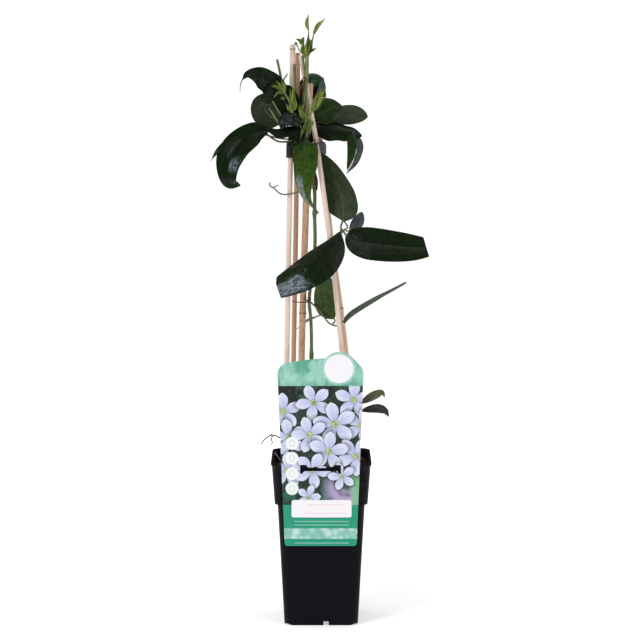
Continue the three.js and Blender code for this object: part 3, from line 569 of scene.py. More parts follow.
def start(kind, name, **size):
    """Adds a mesh primitive with nothing else selected, and names it."""
    bpy.ops.object.select_all(action="DESELECT")
    getattr(bpy.ops.mesh, f"primitive_{kind}_add")(**size)
    piece = bpy.context.object
    piece.name = name
    return piece


def from_curve(name, curve):
    """A piece made from a curve, turned to a mesh."""
    piece = bpy.data.objects.new(name, curve)
    bpy.context.collection.objects.link(piece)
    pick(piece)
    bpy.ops.object.convert(target="MESH")
    return piece


def edit(piece):
    """Goes to edit mode with all of the piece selected."""
    bpy.context.view_layer.objects.active = piece
    bpy.ops.object.mode_set(mode="EDIT")
    bpy.ops.mesh.select_all(action="SELECT")


def leave():
    bpy.ops.object.mode_set(mode="OBJECT")


def apply_modifier(piece, kind, **settings):
    """Adds a modifier, sets it up and applies it."""
    made = piece.modifiers.new(kind.title(), kind)
    for key, value in settings.items():
        setattr(made, key, value)
    pick(piece)
    bpy.ops.object.modifier_apply(modifier=made.name)


def round_edges(piece, width, segments, **more):
    apply_modifier(piece, "BEVEL", width=width * MM, segments=segments, limit_method="ANGLE", **more)


def join(pieces, name):
    """Joins pieces into the first and names it."""
    pick(*pieces)
    if len(pieces) > 1:
        bpy.ops.object.join()
    pieces[0].name = name
    return pieces[0]


def smooth(piece, degrees):
    """Rounds the shading except over edges sharper than the angle."""
    pick(piece)
    bpy.ops.object.shade_smooth_by_angle(angle=math.radians(degrees))


def outward(piece):
    """Merges doubles and turns every face outwards."""
    edit(piece)
    bpy.ops.mesh.remove_doubles(threshold=1e-6)
    bpy.ops.mesh.normals_make_consistent(inside=False)
    leave()


def wear(piece, *finishes):
    """Gives the piece these finishes in place of its own."""
    piece.data.materials.clear()
    for finish in finishes:
        piece.data.materials.append(finish)


def settle(piece, slot, *nodes):
    """Puts the piece's place into its mesh, lets it stand for its nodes and rides it on the part."""
    pick(piece)
    bpy.ops.object.transform_apply(location=True, rotation=True, scale=True)
    if nodes:
        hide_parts(*nodes)
    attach(piece, "root")


def raise_levels(levels):
    """Extrudes the selected flat face through (height, half width) levels round the origin, in mm."""
    z, half = levels[0]
    for next_z, next_half in levels[1:]:
        bpy.ops.mesh.extrude_region_move(TRANSFORM_OT_translate={"value": (0, 0, (next_z - z) * MM)})
        share = next_half / half
        bpy.ops.transform.resize(value=(share, share, 1), center_override=(0, 0, 0))
        z, half = next_z, next_half


# ---------------------------------------------------------------- stalks and blades
SWELL = (0.4, 3.0)  # a node is this share thicker than its stem, and this many mm long to each side
STALK_STEPS = 8  # between two points of a stalk's line
GROOVE = (0.45, 1.1)  # depth and half width of the groove over a midrib, mm
WAVES = 2.5  # along a blade's rim
BASE_FULL = 0.75  # how sharply a blade narrows to its base, unless it says so
OLD_MESH = {"rows": 44, "columns": 14}
YOUNG_MESH = {"rows": 12, "columns": 6}
YOUNG_THICK = 0.5


def stalk(name, points, first, last, skin, swell):
    """A round stalk along a smooth line, from one radius to another, thicker at each swollen node."""
    line = vectors(points)
    curve = bpy.data.curves.new(name, "CURVE")
    curve.dimensions = "3D"
    curve.bevel_depth = MM
    curve.bevel_resolution = 3
    curve.use_fill_caps = True
    count = STALK_STEPS * (len(line) - 1)
    spline = curve.splines.new("POLY")
    spline.points.add(count)
    more, reach = SWELL
    for index, point in enumerate(spline.points):
        t = index / count
        spot = along(line, t)
        knot = sum(more * math.exp(-(((spot.z - z) / reach) ** 2)) for z in swell)
        point.co = (*(spot * MM), 1)
        point.radius = lerp(first, last, t) * (1 + knot)
    piece = from_curve(name, curve)
    wear(piece, skin)
    return piece


def leaf_width(t, peak, taper, full=BASE_FULL):
    """The share of a leaf's greatest half width at t, from 0 at its base to 1 at its tip."""
    if t < peak:
        return math.sin(math.pi / 2 * t / peak) ** full
    return max(0.0, math.cos(math.pi / 2 * (t - peak) / (1 - peak))) ** taper


def blade(name, shape, upper, lower, thick, rows, columns):
    """A leaf blade: a flat grid laid along the midrib line, folded, cupped and waved, then made thick."""
    line = vectors(shape["line"])
    face, tip_face = vectors((shape["face"], shape["tip_face"]))
    lift = math.radians(shape["fold"])
    peak, taper = shape["peak"], shape["taper"]
    deep, near = GROOVE
    piece = start("grid", name, x_subdivisions=rows, y_subdivisions=columns, size=2)
    for vertex in piece.data.vertices:
        share = (vertex.co.x + 1) / 2
        across = -vertex.co.y
        right = across > 0
        t = clamp(share * shape["cut"] + shape["slant"] * across * share)
        tangent = heading(line, t)
        up = face.lerp(tip_face, t)
        up = (up - tangent * up.dot(tangent)).normalized()
        side = tangent.cross(up)
        half = shape["half"] * shape["right" if across >= 0 else "left"]
        width = max(0.25, half * leaf_width(t, peak, taper, shape["full"][right]))
        out = abs(across) * width
        turn = math.tau * WAVES * t + (0.0 if across >= 0 else 1.3)
        wave = shape["wave"] * across * across * math.sin(turn) * leaf_width(t, peak, 1)
        groove = deep * math.exp(-((out / near) ** 2))
        rise = out * math.sin(lift) - shape["cup"] * out * abs(across) + wave - groove
        vertex.co = (along(line, t) + side * (across * width * math.cos(lift)) + up * rise) * MM
    wear(piece, upper, lower)
    apply_modifier(piece, "SOLIDIFY", thickness=thick * MM, offset=0.0, material_offset=1)
    edit(piece)
    bpy.ops.mesh.remove_doubles(threshold=0.02 * MM)
    leave()
    apply_modifier(piece, "SUBSURF", levels=1, render_levels=1)
    return piece


# ---------------------------------------------------------------- pot, label and clip
COLLAR_Z, COLLAR_HALF, COLLAR_STEP = 140.0, 52.3, 3.3
CORNER_LIFT = 0.3  # the rise of the base's corners for each mm outwards
DRAIN = (6, 24, 9)  # a drain channel's width, length and height
SOIL_HALF, SOIL_DEPTH = 52.2, 20
HEAP = 5.0  # how much higher the compost lies at the back right, mm
CLIP_Z = 536.5
CUFF_RADIUS = 3.7

# The label's slot, in mm on its face.
SLOT = [
    (-23.6, 176), (-23.6, 186), (-16, 186), (-16, 184.6), (-14, 183), (-8.5, 183), (-7.5, 184), (-5, 184),
    (-4, 182.6), (5, 182.6), (6, 184), (8.5, 184), (9.5, 183), (14, 184.6), (14, 186), (22, 186), (22, 176),
    (19, 176), (18, 178.8), (-18, 178.8), (-20.2, 177.5), (-20.2, 176),
]
TAB_MIDDLE, TAB_RADIUS = (20, 292.5), 19.8
TONGUE_Y, TONGUE_Z = -54.6, 187.8
TONGUE_SIZE = (26, 0.2, 9)  # across, the share of that which lies over the rim, and how far it hangs inside

# ---------------------------------------------------------------- canes
# Centre lines repeat the source's, bottom to top in mm; rings are the growth rings' heights.
CANES = {
    "cane_front_left": {
        "line": [(-35, -36, 62), (-40, -38.5, 175), (-38.3, -30.5, 306), (-34.6, -16.5, 512),
                 (-31.8, -7, 651.5)],
        "size": "front", "rings": (646, 392, 248), "slot": "cane_pale",
        "tones": (shade(246, 228, 216), shade(214, 182, 162)), "specks": 0.25,
    },
    "cane_back_left": {
        "line": [(-33, 36, 62), (-33.5, 38.5, 175), (-31.5, 30, 299), (-27.6, 15, 512), (-26.3, 6, 642)],
        "size": "back", "rings": (590, 398, 225), "slot": "cane_tan",
        "tones": (shade(208, 166, 138), shade(160, 112, 84)), "specks": 0.6,
    },
    "cane_centre": {
        "line": [(-20, 2, 14), (-23, 0, 175), (-22.2, 0, 302), (-17.3, 0, 466), (-12.7, 0, 608)],
        "size": "centre", "rings": (552, 350, 212), "slot": "cane_brown",
        "tones": (shade(238, 200, 166), shade(178, 130, 96)), "specks": 1.1,
    },
    "cane_front_right": {
        "line": [(35, -36, 62), (38.5, -38.5, 175), (23.5, -30.5, 309), (11, -22.8, 423), (-4, -14.5, 533),
                 (-12, -10.5, 579), (-22.6, -7, 639)],
        "size": "front", "rings": (545, 428, 231), "slot": "cane_pale",
        "tones": (shade(246, 228, 216), shade(216, 184, 164)), "specks": 0.3,
    },
    "cane_back_right": {
        "line": [(36, 36, 62), (40.5, 38.5, 175), (26.4, 29, 321), (12.5, 21.6, 424), (0.4, 14, 533),
                 (-3, 12, 562)],
        "size": "back", "rings": (470, 353, 262), "slot": "cane_tan",
        "tones": (shade(246, 212, 182), shade(198, 152, 118)), "specks": 0.6,
    },
}
# A growth ring: a swelling under a groove and a lip over it, as (height from the ring, mm thicker).
RING_SHAPE = ((-5, 0), (-2, 0.12), (-0.9, 0.5), (-0.3, 0.62), (0.2, 0.25), (0.6, 0.05), (1.4, 0.28), (4, 0))
RING_REACH = 6
CANE_STEP = 12

# ---------------------------------------------------------------- leaves and stalks
# Lines repeat the source's, base to tip in mm.
STEM_LINE = [
    (-14, -14, 120), (-12, -10, 200), (-11, -6.5, 303), (-11.5, -7.5, 340), (-13.5, -9, 366), (-10, -8.5, 394),
    (-7, -8, 427), (-7.5, -8, 463), (-7.5, -9, 489), (-12, -10.5, 517), (-17, -12.5, 545), (-19.5, -16, 566),
    (-19, -17, 578),
]


def seat(z, degrees):
    """A point just under the stem's skin at height z, where a stalk leaves it towards degrees."""
    centre = at_height(vectors(STEM_LINE), z)
    return (centre.x + math.cos(math.radians(degrees)), centre.y + math.sin(math.radians(degrees)), z)


def leaf(line, half, face, fold, cup, peak, taper, **more):
    """One blade's shape and looks.

    line is its midrib and half its half width, in mm. The upper face looks towards face at the base and
    tip_face at the tip. fold, in degrees, lifts the two halves and cup bends them back. It is widest at peak;
    taper narrows it to the tip and full, left and right, to the base. left and right scale each half, cut
    ends it square at that share of its line, slant tilts that end, and wave moves the rim. tone and under name
    the greens of its two faces; crumple, bloom and shine are leaf_upper's, bloom being a
    painted highlight for the lamps' glare.
    """
    usual = {
        "tip_face": face, "cut": 1.0, "slant": 0.0, "wave": 0.0, "left": 1.0, "right": 1.0,
        "full": (BASE_FULL, BASE_FULL), "tone": "dark", "under": "olive",
        "crumple": 0.0, "bloom": None, "shine": 0.19,
    }
    named = {"line": line, "half": half, "face": face, "fold": fold, "cup": cup, "peak": peak, "taper": taper}
    return {**usual, **named, **more}


def leaflet(line, half, **more):
    """A shoot's folded leaflet; more says where it differs from the others."""
    usual = {"face": (-0.1, -0.95, 0.3), "fold": 14, "cup": 0.1, "peak": 0.45, "taper": 1.0, "tone": "shoot"}
    return leaf(line, half, **{**usual, **more})


# Each piece's slot, the skin of its stalks, and its parts. A stalk is its line and its radius at either end.
# swell lists the heights of swollen nodes, and tuft says how many narrower leaflets stand beside each one.
# extras are fresh green stalks and dry_stalks brown ones.
PLANT = {
    "stem_main": {
        "slot": "stem_green", "skin": "green", "swell": (303, 463, 557),
        "stalks": [(STEM_LINE, 1.8, 2.2)],
    },
    "leaf_left_high": {
        "slot": "leaf_dark", "skin": "dark",
        "stalks": [([seat(566, 215), (-28, -20.5, 564), (-37, -23, 575.5)], 1.1, 1.1)],
        "blades": [
            leaf([(-33.5, -21, 568.5), (-50, -25, 603), (-62.5, -29, 614), (-72, -32, 618.5),
                (-81.5, -34, 618), (-87.5, -36, 612.5)], 14, (-0.3, -0.85, 0.4), 8, 0.15, 0.2, 1.1,
                tip_face=(-0.2, -0.9, 0.3), wave=0.8, left=1.1, right=0.85, shine=0.1, full=(0.5, 0.5)),
            leaf([(-79.5, -34, 616), (-87, -36, 612), (-89.5, -36, 605), (-90, -35, 598.5)], 1.3,
                (-0.9, -0.3, 0.3), 8, 0.1, 0.2, 0.8, tone="slate"),
            # The third blade is a dark leaf before the left canes: partly the leaves that hide them there,
            # partly painted shade where the canes lie in shade under the crown.
            leaf([(-25, -16, 545.5), (-26.5, -21, 567.5), (-31.5, -22.5, 588.5), (-38, -23, 606.5)], 9,
                (-0.2, -0.9, 0.3), 8, 0.2, 0.5, 0.5, shine=0.1),
        ],
    },
    "leaf_left_rear": {
        "slot": "leaf_olive", "skin": "dark",
        "stalks": [
            ([seat(560, 190), (-31.5, -19.5, 553), (-41.5, -19.5, 556.5), (-44.5, -18, 563)], 1.1, 1.1),
        ],
        "blades": [
            leaf([(-44.5, -18, 565.5), (-59, -12, 574), (-63.5, -5, 584.5), (-54, 2, 599.5)], 19,
                (0.2, 0.9, 0.3), 8, 0.15, 0.42, 1.0, under="shade", full=(0.6, 0.6)),
            leaf([(-19.5, 16, 537.5), (-24, 17, 560), (-27.5, 17, 580.5), (-30.5, 17, 600.5)], 15,
                (-0.1, -0.9, 0.3), 8, 0.2, 0.45, 0.8),
        ],
        "extras": [
            ([(-42.5, -20, 569), (-48, -26, 578.5), (-54, -28, 588.5)], 1.3, 0.7),
            ([(-44.5, -20, 560), (-51.5, -21, 571), (-58, -21, 581)], 1.1, 0.7),
        ],
    },
    "leaf_left_low": {
        "slot": "leaf_dark", "skin": "red",
        "stalks": [
            ([seat(552, 225), (-34.5, -23, 544.5), (-48, -25, 544), (-59, -26, 551), (-63.5, -26, 554.5)],
                1.0, 1.1),
        ],
        "blades": [
            leaf([(-58, -25, 555.5), (-74.5, -28, 553.5), (-92, -33, 540), (-103, -36, 520.5),
                (-102, -35, 499.5), (-89.5, -28, 494.5)], 20, (-0.5, -0.75, 0.45), 10, 0.15, 0.4, 0.8,
                tip_face=(-0.6, -0.7, -0.3), wave=0.8, crumple=0.3, bloom=(0.5, 0.72, 1, 0.95), shine=0.06),
        ],
    },
    "leaf_left_tip": {
        "slot": "leaf_dark", "skin": "red",
        "stalks": [([seat(556, 200), (-34.5, -20, 547), (-48, -18, 547.5), (-63.5, -16, 551.5)], 0.9, 0.9)],
        "blades": [
            leaf([(-61.5, -16, 551.5), (-83.5, -18, 550), (-103.5, -20, 540), (-115, -21, 533),
                (-123.5, -22, 522)], 8, (-0.3, -0.8, 0.5), 10, 0.2, 0.4, 1.5, wave=0.4),
        ],
    },
    "leaf_left_front": {
        "slot": "leaf_dark", "skin": "dark",
        "stalks": [([seat(560, 265), (-21, -25, 557), (-21.5, -30.5, 560), (-24, -31.5, 561)], 1.0, 1.0)],
        "blades": [
            leaf([(-21.5, -31, 564.5), (-32.5, -34, 570), (-41, -37, 566.5), (-44.5, -38, 558)], 11,
                (-0.2, -0.8, 0.6), 6, 0.25, 0.4, 0.8, wave=0.5, tone="slate"),
            leaf([(-23.5, -30, 558), (-34.5, -33, 555.5), (-48, -35, 553.5), (-62, -36, 559)], 7.5,
                (-0.1, -0.8, 0.6), 6, 0.15, 0.4, 0.8, wave=0.6, shine=0.1),
            leaf([(-27, -23, 561), (-31.5, -23, 550), (-34.5, -23, 537.5)], 5, (-0.1, -0.95, 0.1), 6, 0.2,
                0.5, 0.6),
            leaf([(-23.5, -20, 561), (-21.5, -21, 550), (-20.5, -22, 537.5)], 9, (0.1, -0.95, 0.1), 6, 0.2,
                0.5, 0.8),
            leaf([(-18, -7, 565), (-14, -7, 551.5), (-13, -7, 538.5)], 7, (0.1, -0.95, 0.1), 6, 0.2, 0.5,
                0.6),
        ],
    },
    "leaf_right_high": {
        "slot": "leaf_dark", "skin": "dark",
        "stalks": [([seat(568, 70), (-18, -8, 574), (-22.5, 4, 583), (-20.5, 8, 591.5)], 1.0, 1.0)],
        "blades": [
            leaf([(-20.5, 8, 588.5), (-19.5, 9, 603), (-11.5, 10, 611), (-1.5, 12, 609.5),
                (5.5, 10, 591.5)], 9.5, (-0.6, -0.7, 0.2), 8, 0.2, 0.5, 0.9, tip_face=(0.6, -0.6, 0.4),
                wave=0.5, tone="fern"),
            leaf([(-19.5, 9, 582.5), (-11.5, 11, 593), (-3.5, 12, 598.5), (5.5, 12, 594)], 9,
                (-0.1, -0.9, 0.2), 8, 0.2, 0.5, 0.7),
            leaf([(2.5, 4, 615), (0.5, 3, 606), (-4.5, 2, 596)], 2.8, (0.3, -0.9, 0.2), 6, 0.2, 0.5, 0.5,
                tone="grey"),
        ],
    },
    "leaf_right_middle": {
        "slot": "leaf_dark", "skin": "dark",
        "stalks": [([seat(562, 40), (-13.5, -8, 565), (-9, -5, 570.5)], 1.0, 1.0)],
        "blades": [
            leaf([(-10.5, -5, 570.5), (1, -4, 576), (12, -2, 580.5), (23.5, 1, 583)], 16, (0.1, -0.9, 0.35),
                6, 0.15, 0.42, 0.8, wave=0.6, tone="shade"),
            leaf([(-20.5, 16, 545.5), (-12.5, 17, 562.5), (-1.5, 17, 576), (10, 17, 585)], 13,
                (0.1, -0.9, 0.3), 8, 0.2, 0.45, 0.8),
        ],
    },
    "leaf_right_rear": {
        "slot": "leaf_olive", "skin": "dark",
        "stalks": [([seat(557, 50), (-11.5, -6, 559.5), (-3.5, 3, 565)], 1.0, 1.0)],
        "blades": [
            leaf([(-4.5, 3, 565), (15.5, 8, 571.5), (34.5, 12, 573), (52.5, 16, 570.5)], 12,
                (0.1, 0.9, 0.3), 6, 0.15, 0.62, 0.6, tone="olive", shine=0.05),
        ],
    },
    "leaf_right_low": {
        "slot": "leaf_dark", "skin": "dark",
        "stalks": [([seat(552, 30), (-11.5, -8, 554), (-7, -5, 556)], 1.0, 1.0)],
        "blades": [
            leaf([(-10.5, -5, 558.5), (10, -6, 557.5), (29, -7, 555), (45.5, -9, 549.5)], 13,
                (0.1, -0.8, 0.6), -12, 0.2, 0.4, 0.6, wave=1.5, shine=0.1, full=(0.6, 0.4)),
            leaf([(32.5, -8, 557.5), (41, -9, 546), (43, -10, 534), (38.5, -12, 520.5), (28, -15, 507.5)],
                4.7, (0.5, -0.85, 0.1), 8, 0.2, 0.4, 0.8, wave=0.8, tone="steel"),
            leaf([(31, -12, 553), (34, -13, 541), (33, -14, 527.5), (29, -16, 512)], 5.6, (-0.3, -0.9, 0.2),
                8, 0.2, 0.35, 0.7, tone="shade"),
        ],
    },
    "leaf_centre": {
        "slot": "leaf_bright", "skin": "dark",
        "stalks": [([seat(553, 280), (-18.5, -22, 547.5), (-19, -24, 541)], 1.0, 1.0)],
        "blades": [
            leaf([(-18, -23, 545.5), (-17.5, -26, 520), (-19, -27, 500), (-15.5, -27, 481),
                (-4.5, -26, 465.5)], 14.8, (-0.1, -0.95, 0.2), 12, 0.15, 0.1, 1.35, tone="bright", wave=0.6,
                crumple=0.3, bloom=(0.4, 0.97, -1, 1.1)),
        ],
    },
    "leaf_side": {
        "slot": "leaf_olive", "skin": "green",
        "stalks": [
            ([seat(418, 0), (4.5, -8, 419.5), (13, -9, 427.5), (20, -17, 437), (24.5, -24, 445.5)], 1.1,
                1.2),
            ([seat(467, 0), (-3, -9, 463)], 1.2, 0.9),
            ([(22.5, -24, 445.5), (22, -20, 449.5), (24.5, -15, 456)], 1.1, 1.1),
            ([(22, -24, 446.5), (22, -30, 444.5), (22, -37, 442)], 1.1, 1.1),
            ([(22, -24, 446.5), (24.5, -27, 444.5), (28.5, -32, 438.5)], 1.1, 1.1),
            ([(25.5, -25, 445.5), (29.5, -20, 448.5), (25.5, -14, 455)], 0.9, 0.9),
            ([(26, -25, 445.5), (30, -22, 444), (34.5, -18, 447)], 0.8, 0.8),
        ],
        "blades": [
            leaf([(25, -16, 454), (24.5, -11, 470.5), (20, -6, 489), (10, -2, 512.5), (0, 0, 531.5)], 18.5,
                (0.25, 0.9, 0.3), 6, 0.15, 0.25, 0.85, tone="olive", wave=0.5, full=(0.4, 1.15)),
            leaf([(21, -36, 445), (10.5, -42, 431), (-6.5, -48, 417), (-26, -51, 403.5), (-48, -52, 389),
                (-72, -51, 372.5)], 25.5, (-0.2, -0.75, 0.6), -28, 0.1, 0.42, 0.6, cut=0.82, slant=-0.03,
                left=1.06, right=0.87, full=(0.85, 1.0), crumple=0.6, shine=0.13,
                bloom=(0.64, 1.2, 1, 1.0)),
            leaf([(27, -31, 439.5), (45.5, -37, 433.5), (70.5, -40, 430), (98.5, -40, 427.5),
                (120.5, -40, 427), (141.5, -40, 426.5)], 19.5, (0.0, -0.85, 0.5), 8, 0.1, 0.3, 0.75,
                cut=0.765, slant=0.03, right=1.12, crumple=0.2, full=(0.32, 0.6), shine=0.1,
                bloom=(0.02, 0.42, -1, 0.07)),
            leaf([(31.5, -19, 443), (38, -12, 452.5), (46, -4, 464.5)], 7, (0.3, -0.8, 0.5), 6, 0.15, 0.55,
                0.6, tone="grey", right=1.3, left=0.7),
        ],
    },
    "leaf_low": {
        "slot": "leaf_olive", "skin": "green",
        "stalks": [
            ([seat(364, 310), (-3.5, -16, 356), (2, -17, 349), (8.5, -16, 340.5), (17.5, -16, 337),
                (23.5, -16, 341.5), (25, -17.5, 342.5)], 1.0, 0.9),
            ([(12, -16, 338), (15.5, -15, 342.5), (13, -15, 347)], 0.9, 0.8),
            ([(2, -17, 349), (0, -11, 349), (-9.5, 1, 344)], 0.8, 0.8),
        ],
        "blades": [
            leaf([(14.5, -15, 344.5), (7.5, -14, 356), (5.5, -14, 370.5), (4.5, -15, 385.5),
                (3.5, -17, 402.5)], 14.5, (0.2, 0.95, 0.1), 6, 0.15, 0.4, 0.8, tone="olive", under="lime"),
            leaf([(25, -18, 341.5), (33.5, -22, 350.5), (48, -26, 360.5), (65.5, -29, 371), (80, -31, 379),
                (103.5, -32, 392)], 9.5, (0.0, -0.4, 0.92), 8, 0.1, 0.12, 0.4, cut=0.93, tone="ash",
                tip_face=(0.0, -0.12, 0.99), under="dark", full=(0.3, 0.3)),
            leaf([(-6, -3, 346.5), (-11.5, 6, 343), (-18.5, 14, 337), (-28.5, 21, 329.5)], 7,
                (0.1, -0.3, 0.95), 6, 0.1, 0.4, 0.7, tone="grey", under="grey"),
        ],
    },
    "shoot_leader": {
        "slot": "shoot_green", "skin": "green", "tuft": 1,
        "stalks": [
            ([(-19, -17, 578), (-18.5, -17.5, 589.5), (-17.5, -17.5, 603), (-16.5, -17, 616)], 2.3, 2.4),
        ],
        "extras": [
            ([(-16.5, -17, 614), (-16, -17, 625), (-15.5, -16, 639.5), (-13.5, -15, 648),
                (-11.5, -15, 656)], 2.6, 1.5),
            ([(-19.5, -17, 638.5), (-20, -17, 648), (-19.5, -17, 658)], 1.8, 1.0),
            ([(-20.5, -15.5, 638.5), (-19.5, -16, 627), (-18, -17, 615)], 1.5, 1.0),
            ([(-16.5, -17, 634), (-20, -17, 641.5), (-21.5, -17, 652.5)], 1.1, 0.7),
            ([(-20, -17, 639.5), (-24.5, -19, 645), (-27.5, -20, 651.5)], 0.7, 0.6),
            ([(-14.5, -16, 645), (-14, -17, 656), (-14, -17, 668)], 1.0, 0.6),
            ([(-12, -15, 651.5), (-9.5, -16, 657), (-8.5, -17, 662.5)], 1.0, 0.7),
        ],
        "blades": [
            leaflet([(-14, -17, 666), (-16, -18, 674.5), (-14, -19, 684)], 2.3),
            leaflet([(-9, -17, 661), (-4.5, -19, 670), (4, -21, 679.5)], 2.5),
            leaflet([(-21, -17, 650.5), (-21, -18, 655), (-19.5, -19, 659.5)], 2.2),
            leaflet([(-22, -17, 650.5), (-23.5, -19, 655), (-28, -21, 657)], 2.0),
            leaflet([(-26.5, -19.5, 649), (-28, -20, 652), (-29.5, -21, 653.5)], 1.4),
            leaflet([(-14.5, -15.5, 641.5), (-10, -17, 644.5), (-5.5, -19, 647)], 1.7),
            leaflet([(-14, -16, 638.5), (-12, -17, 647), (-9.5, -18, 655.5)], 2.4),
            leaflet([(-16, -16, 640.5), (-15.5, -18, 650.5), (-14, -18, 664.5)], 1.6),
            leaflet([(-16, -19, 638), (-13.5, -19.5, 647), (-10, -20, 654)], 2.2),
            leaflet([(-17, -19, 637), (-17.5, -20, 646), (-16.5, -20, 653.5)], 1.8),
            leaflet([(-20, -19, 639.5), (-21.5, -20, 646), (-20.5, -20, 651.5)], 1.7),
        ],
        "dry_stalks": [
            ([(-17, -19.5, 614.5), (-21, -20.5, 606.5), (-24, -20.5, 596.5)], 1.1, 0.5),
            ([(-17.5, -19.5, 613), (-19.5, -20.5, 603), (-21, -20.5, 593)], 0.9, 0.4),
            ([(-20, -19, 614.5), (-16.5, -19.5, 613.5)], 1.3, 1.0),
        ],
    },
    "shoot_left": {
        "slot": "shoot_green", "skin": "fresh", "tuft": 2,
        "stalks": [
            ([seat(569, 240), (-24.5, -23, 568.5), (-31.5, -27, 576.5), (-32.5, -30, 585.5)], 1.3, 1.2),
            ([(-31.5, -28, 578.5), (-36.5, -31, 591), (-42, -33, 599.5)], 1.1, 1.1),
        ],
        "blades": [
            leaflet([(-40, -32, 597.5), (-43.5, -34, 604), (-50, -36, 611)], 2.3),
            leaflet([(-41, -32, 598.5), (-46.5, -36, 603), (-55.5, -39, 605.5)], 2.1),
            leaflet([(-41, -32, 597.5), (-46.5, -36, 598.5), (-52, -38, 594)], 1.9),
            leaflet([(-40, -32.5, 596), (-41, -35, 604), (-44, -36, 612)], 2.0),
            leaflet([(-32, -29, 577.5), (-30, -31, 588.5), (-30, -32, 601.5)], 2.0),
            leaflet([(-32.5, -29, 578.5), (-33.5, -32, 590), (-34.5, -32, 602.5)], 1.9),
            leaflet([(-32.5, -30, 580), (-32, -33, 591), (-31.5, -33, 603.5)], 1.6),
            leaflet([(-41, -33, 597.5), (-45.5, -36, 605), (-47.5, -37, 609.5)], 0.9),
            leaflet([(-40.5, -33, 596.5), (-46.5, -37, 597.5), (-50, -39, 598.5)], 1.0),
            leaflet([(-32, -28, 576.5), (-28, -31, 582), (-27.5, -32, 588.5)], 1.2),
            leaflet([(-31.5, -28, 575.5), (-36, -33, 580), (-38.5, -35, 585.5)], 1.6),
            leaflet([(-39, -33, 593), (-42, -36, 591), (-45.5, -38, 592)], 1.0),
            leaflet([(-30, -27, 572), (-33.5, -31, 580), (-34.5, -33, 592)], 2.2),
        ],
    },
    "shoot_right": {
        "slot": "shoot_green", "skin": "fresh", "tuft": 2,
        "stalks": [
            ([seat(570, 300), (-13.5, -23.5, 571), (-7, -26, 585.5)], 1.5, 1.3),
            ([(-16.5, -21.5, 566.5), (-18, -22.5, 573), (-17, -23, 580)], 1.5, 1.1),
        ],
        "blades": [
            leaflet([(-10, -25, 576.5), (-4, -27, 588.5), (0.5, -28, 603)], 2.2),
            leaflet([(-9, -25, 577.5), (-2, -25, 589.5), (4.5, -24, 605)], 2.1),
            leaflet([(-9, -25, 576.5), (-1.5, -27, 585.5), (6, -29, 596.5)], 1.9),
            leaflet([(-11.5, -25, 575.5), (-9.5, -28, 585.5), (-5, -30, 595.5)], 1.5),
            leaflet([(-18, -22.5, 570), (-21.5, -25, 577.5), (-19, -26, 586.5)], 2.0),
            leaflet([(-18, -22.5, 571), (-14.5, -26, 576.5), (-13, -27, 585.5)], 1.8),
            leaflet([(-18, -22, 567.5), (-22.5, -28, 572.5), (-24.5, -30, 582)], 1.5),
            leaflet([(-16.5, -22, 566.5), (-12, -26, 566.5), (-9, -28, 561)], 1.8),
            leaflet([(-16.5, -22, 566.5), (-15, -25, 557.5), (-16.5, -28, 548)], 1.8),
            leaflet([(-10, -26, 576.5), (-7, -29, 588.5), (-3.5, -30, 598.5)], 1.2),
            leaflet([(-8, -26, 580), (-0.5, -29, 592), (3, -30, 601)], 1.4),
            leaflet([(-18, -24, 568.5), (-23.5, -28, 576.5), (-22.5, -29, 585.5)], 1.2),
            leaflet([(-16, -24, 567.5), (-11.5, -28, 574.5), (-8, -29, 581)], 1.4),
            leaflet([(-18, -24, 565.5), (-20, -27, 556.5), (-23.5, -28, 548)], 1.5),
            leaflet([(-18, -24, 566.5), (-24.5, -28, 565.5), (-27, -30, 559)], 1.2),
            leaflet([(-14.5, -24, 567.5), (-12.5, -27, 560), (-13.5, -28, 552)], 1.8),
        ],
    },
    "stub_left": {
        "slot": "stem_green", "skin": "green",
        "stalks": [
            ([seat(568, 165), (-35.5, -17.5, 578.5), (-42.5, -16, 603), (-46, -15, 620.5),
                (-49, -14, 634.5)], 1.5, 1.45),
            ([(-40.5, -16, 596.5), (-42.5, -16, 609.5), (-37.5, -16, 618.5)], 0.9, 0.8),
        ],
    },
    "stub_upright": {
        "slot": "stem_green", "skin": "green",
        "stalks": [([seat(573, 200), (-27.5, -18, 592), (-29, -17, 609.5), (-30, -16, 629.5)], 1.3, 1.5)],
    },
    "tendril_upper": {
        "slot": "stem_green", "skin": "green",
        "stalks": [
            ([seat(492, 215), (-16, -17, 491), (-26, -22.5, 487.5), (-35, -23.5, 485.5), (-42.5, -24, 485),
                (-48, -24, 487.5), (-52.5, -24, 492), (-57, -24, 494.5), (-57, -24, 498.5)], 0.95, 0.75),
            ([(-52, -24, 491.5), (-52, -24, 493.5), (-47.5, -25, 495.5)], 0.75, 0.6),
        ],
        "dry_stalks": [([seat(517, 0), (-6.5, -9, 505), (-5, -9, 497), (-5.5, -8, 489)], 1.9, 1.2)],
    },
    "tendril_node": {
        "slot": "dried_brown", "skin": "dry",
        "stalks": [
            ([(-11.5, -12.5, 368), (-14.5, -13, 364), (-19, -9.5, 363), (-26, -7, 363), (-33, -7, 364.5)],
                0.8, 0.5),
            ([(-13, -13, 363.5), (-17.5, -13.5, 367), (-18, -13, 371.5)], 0.8, 0.7),
        ],
    },
    "shoot_low": {
        "slot": "leaf_dark", "skin": "dark",
        "stalks": [
            ([seat(196, 270), (-4, -24, 203), (8, -38, 220), (26, -47, 236), (41, -45, 244.5),
                (46.5, -44, 245)], 1.1, 0.9),
            ([(20, -45.3, 232), (34.5, -46, 250.5), (45.5, -46, 254.5)], 0.9, 0.8),
        ],
        "blades": [
            leaflet([(43, -46, 253), (51, -47, 258), (60, -48, 263), (67.5, -48, 265.5), (71, -48, 260)],
                5.0, taper=1.1, tone="rust"),
            leaflet([(43.5, -44, 244.5), (53.5, -45, 246.5), (63.5, -46, 247.5), (71, -47, 245),
                (75.5, -47, 238.5)], 5.2, taper=0.9, peak=0.5, tone="plum"),
        ],
    },
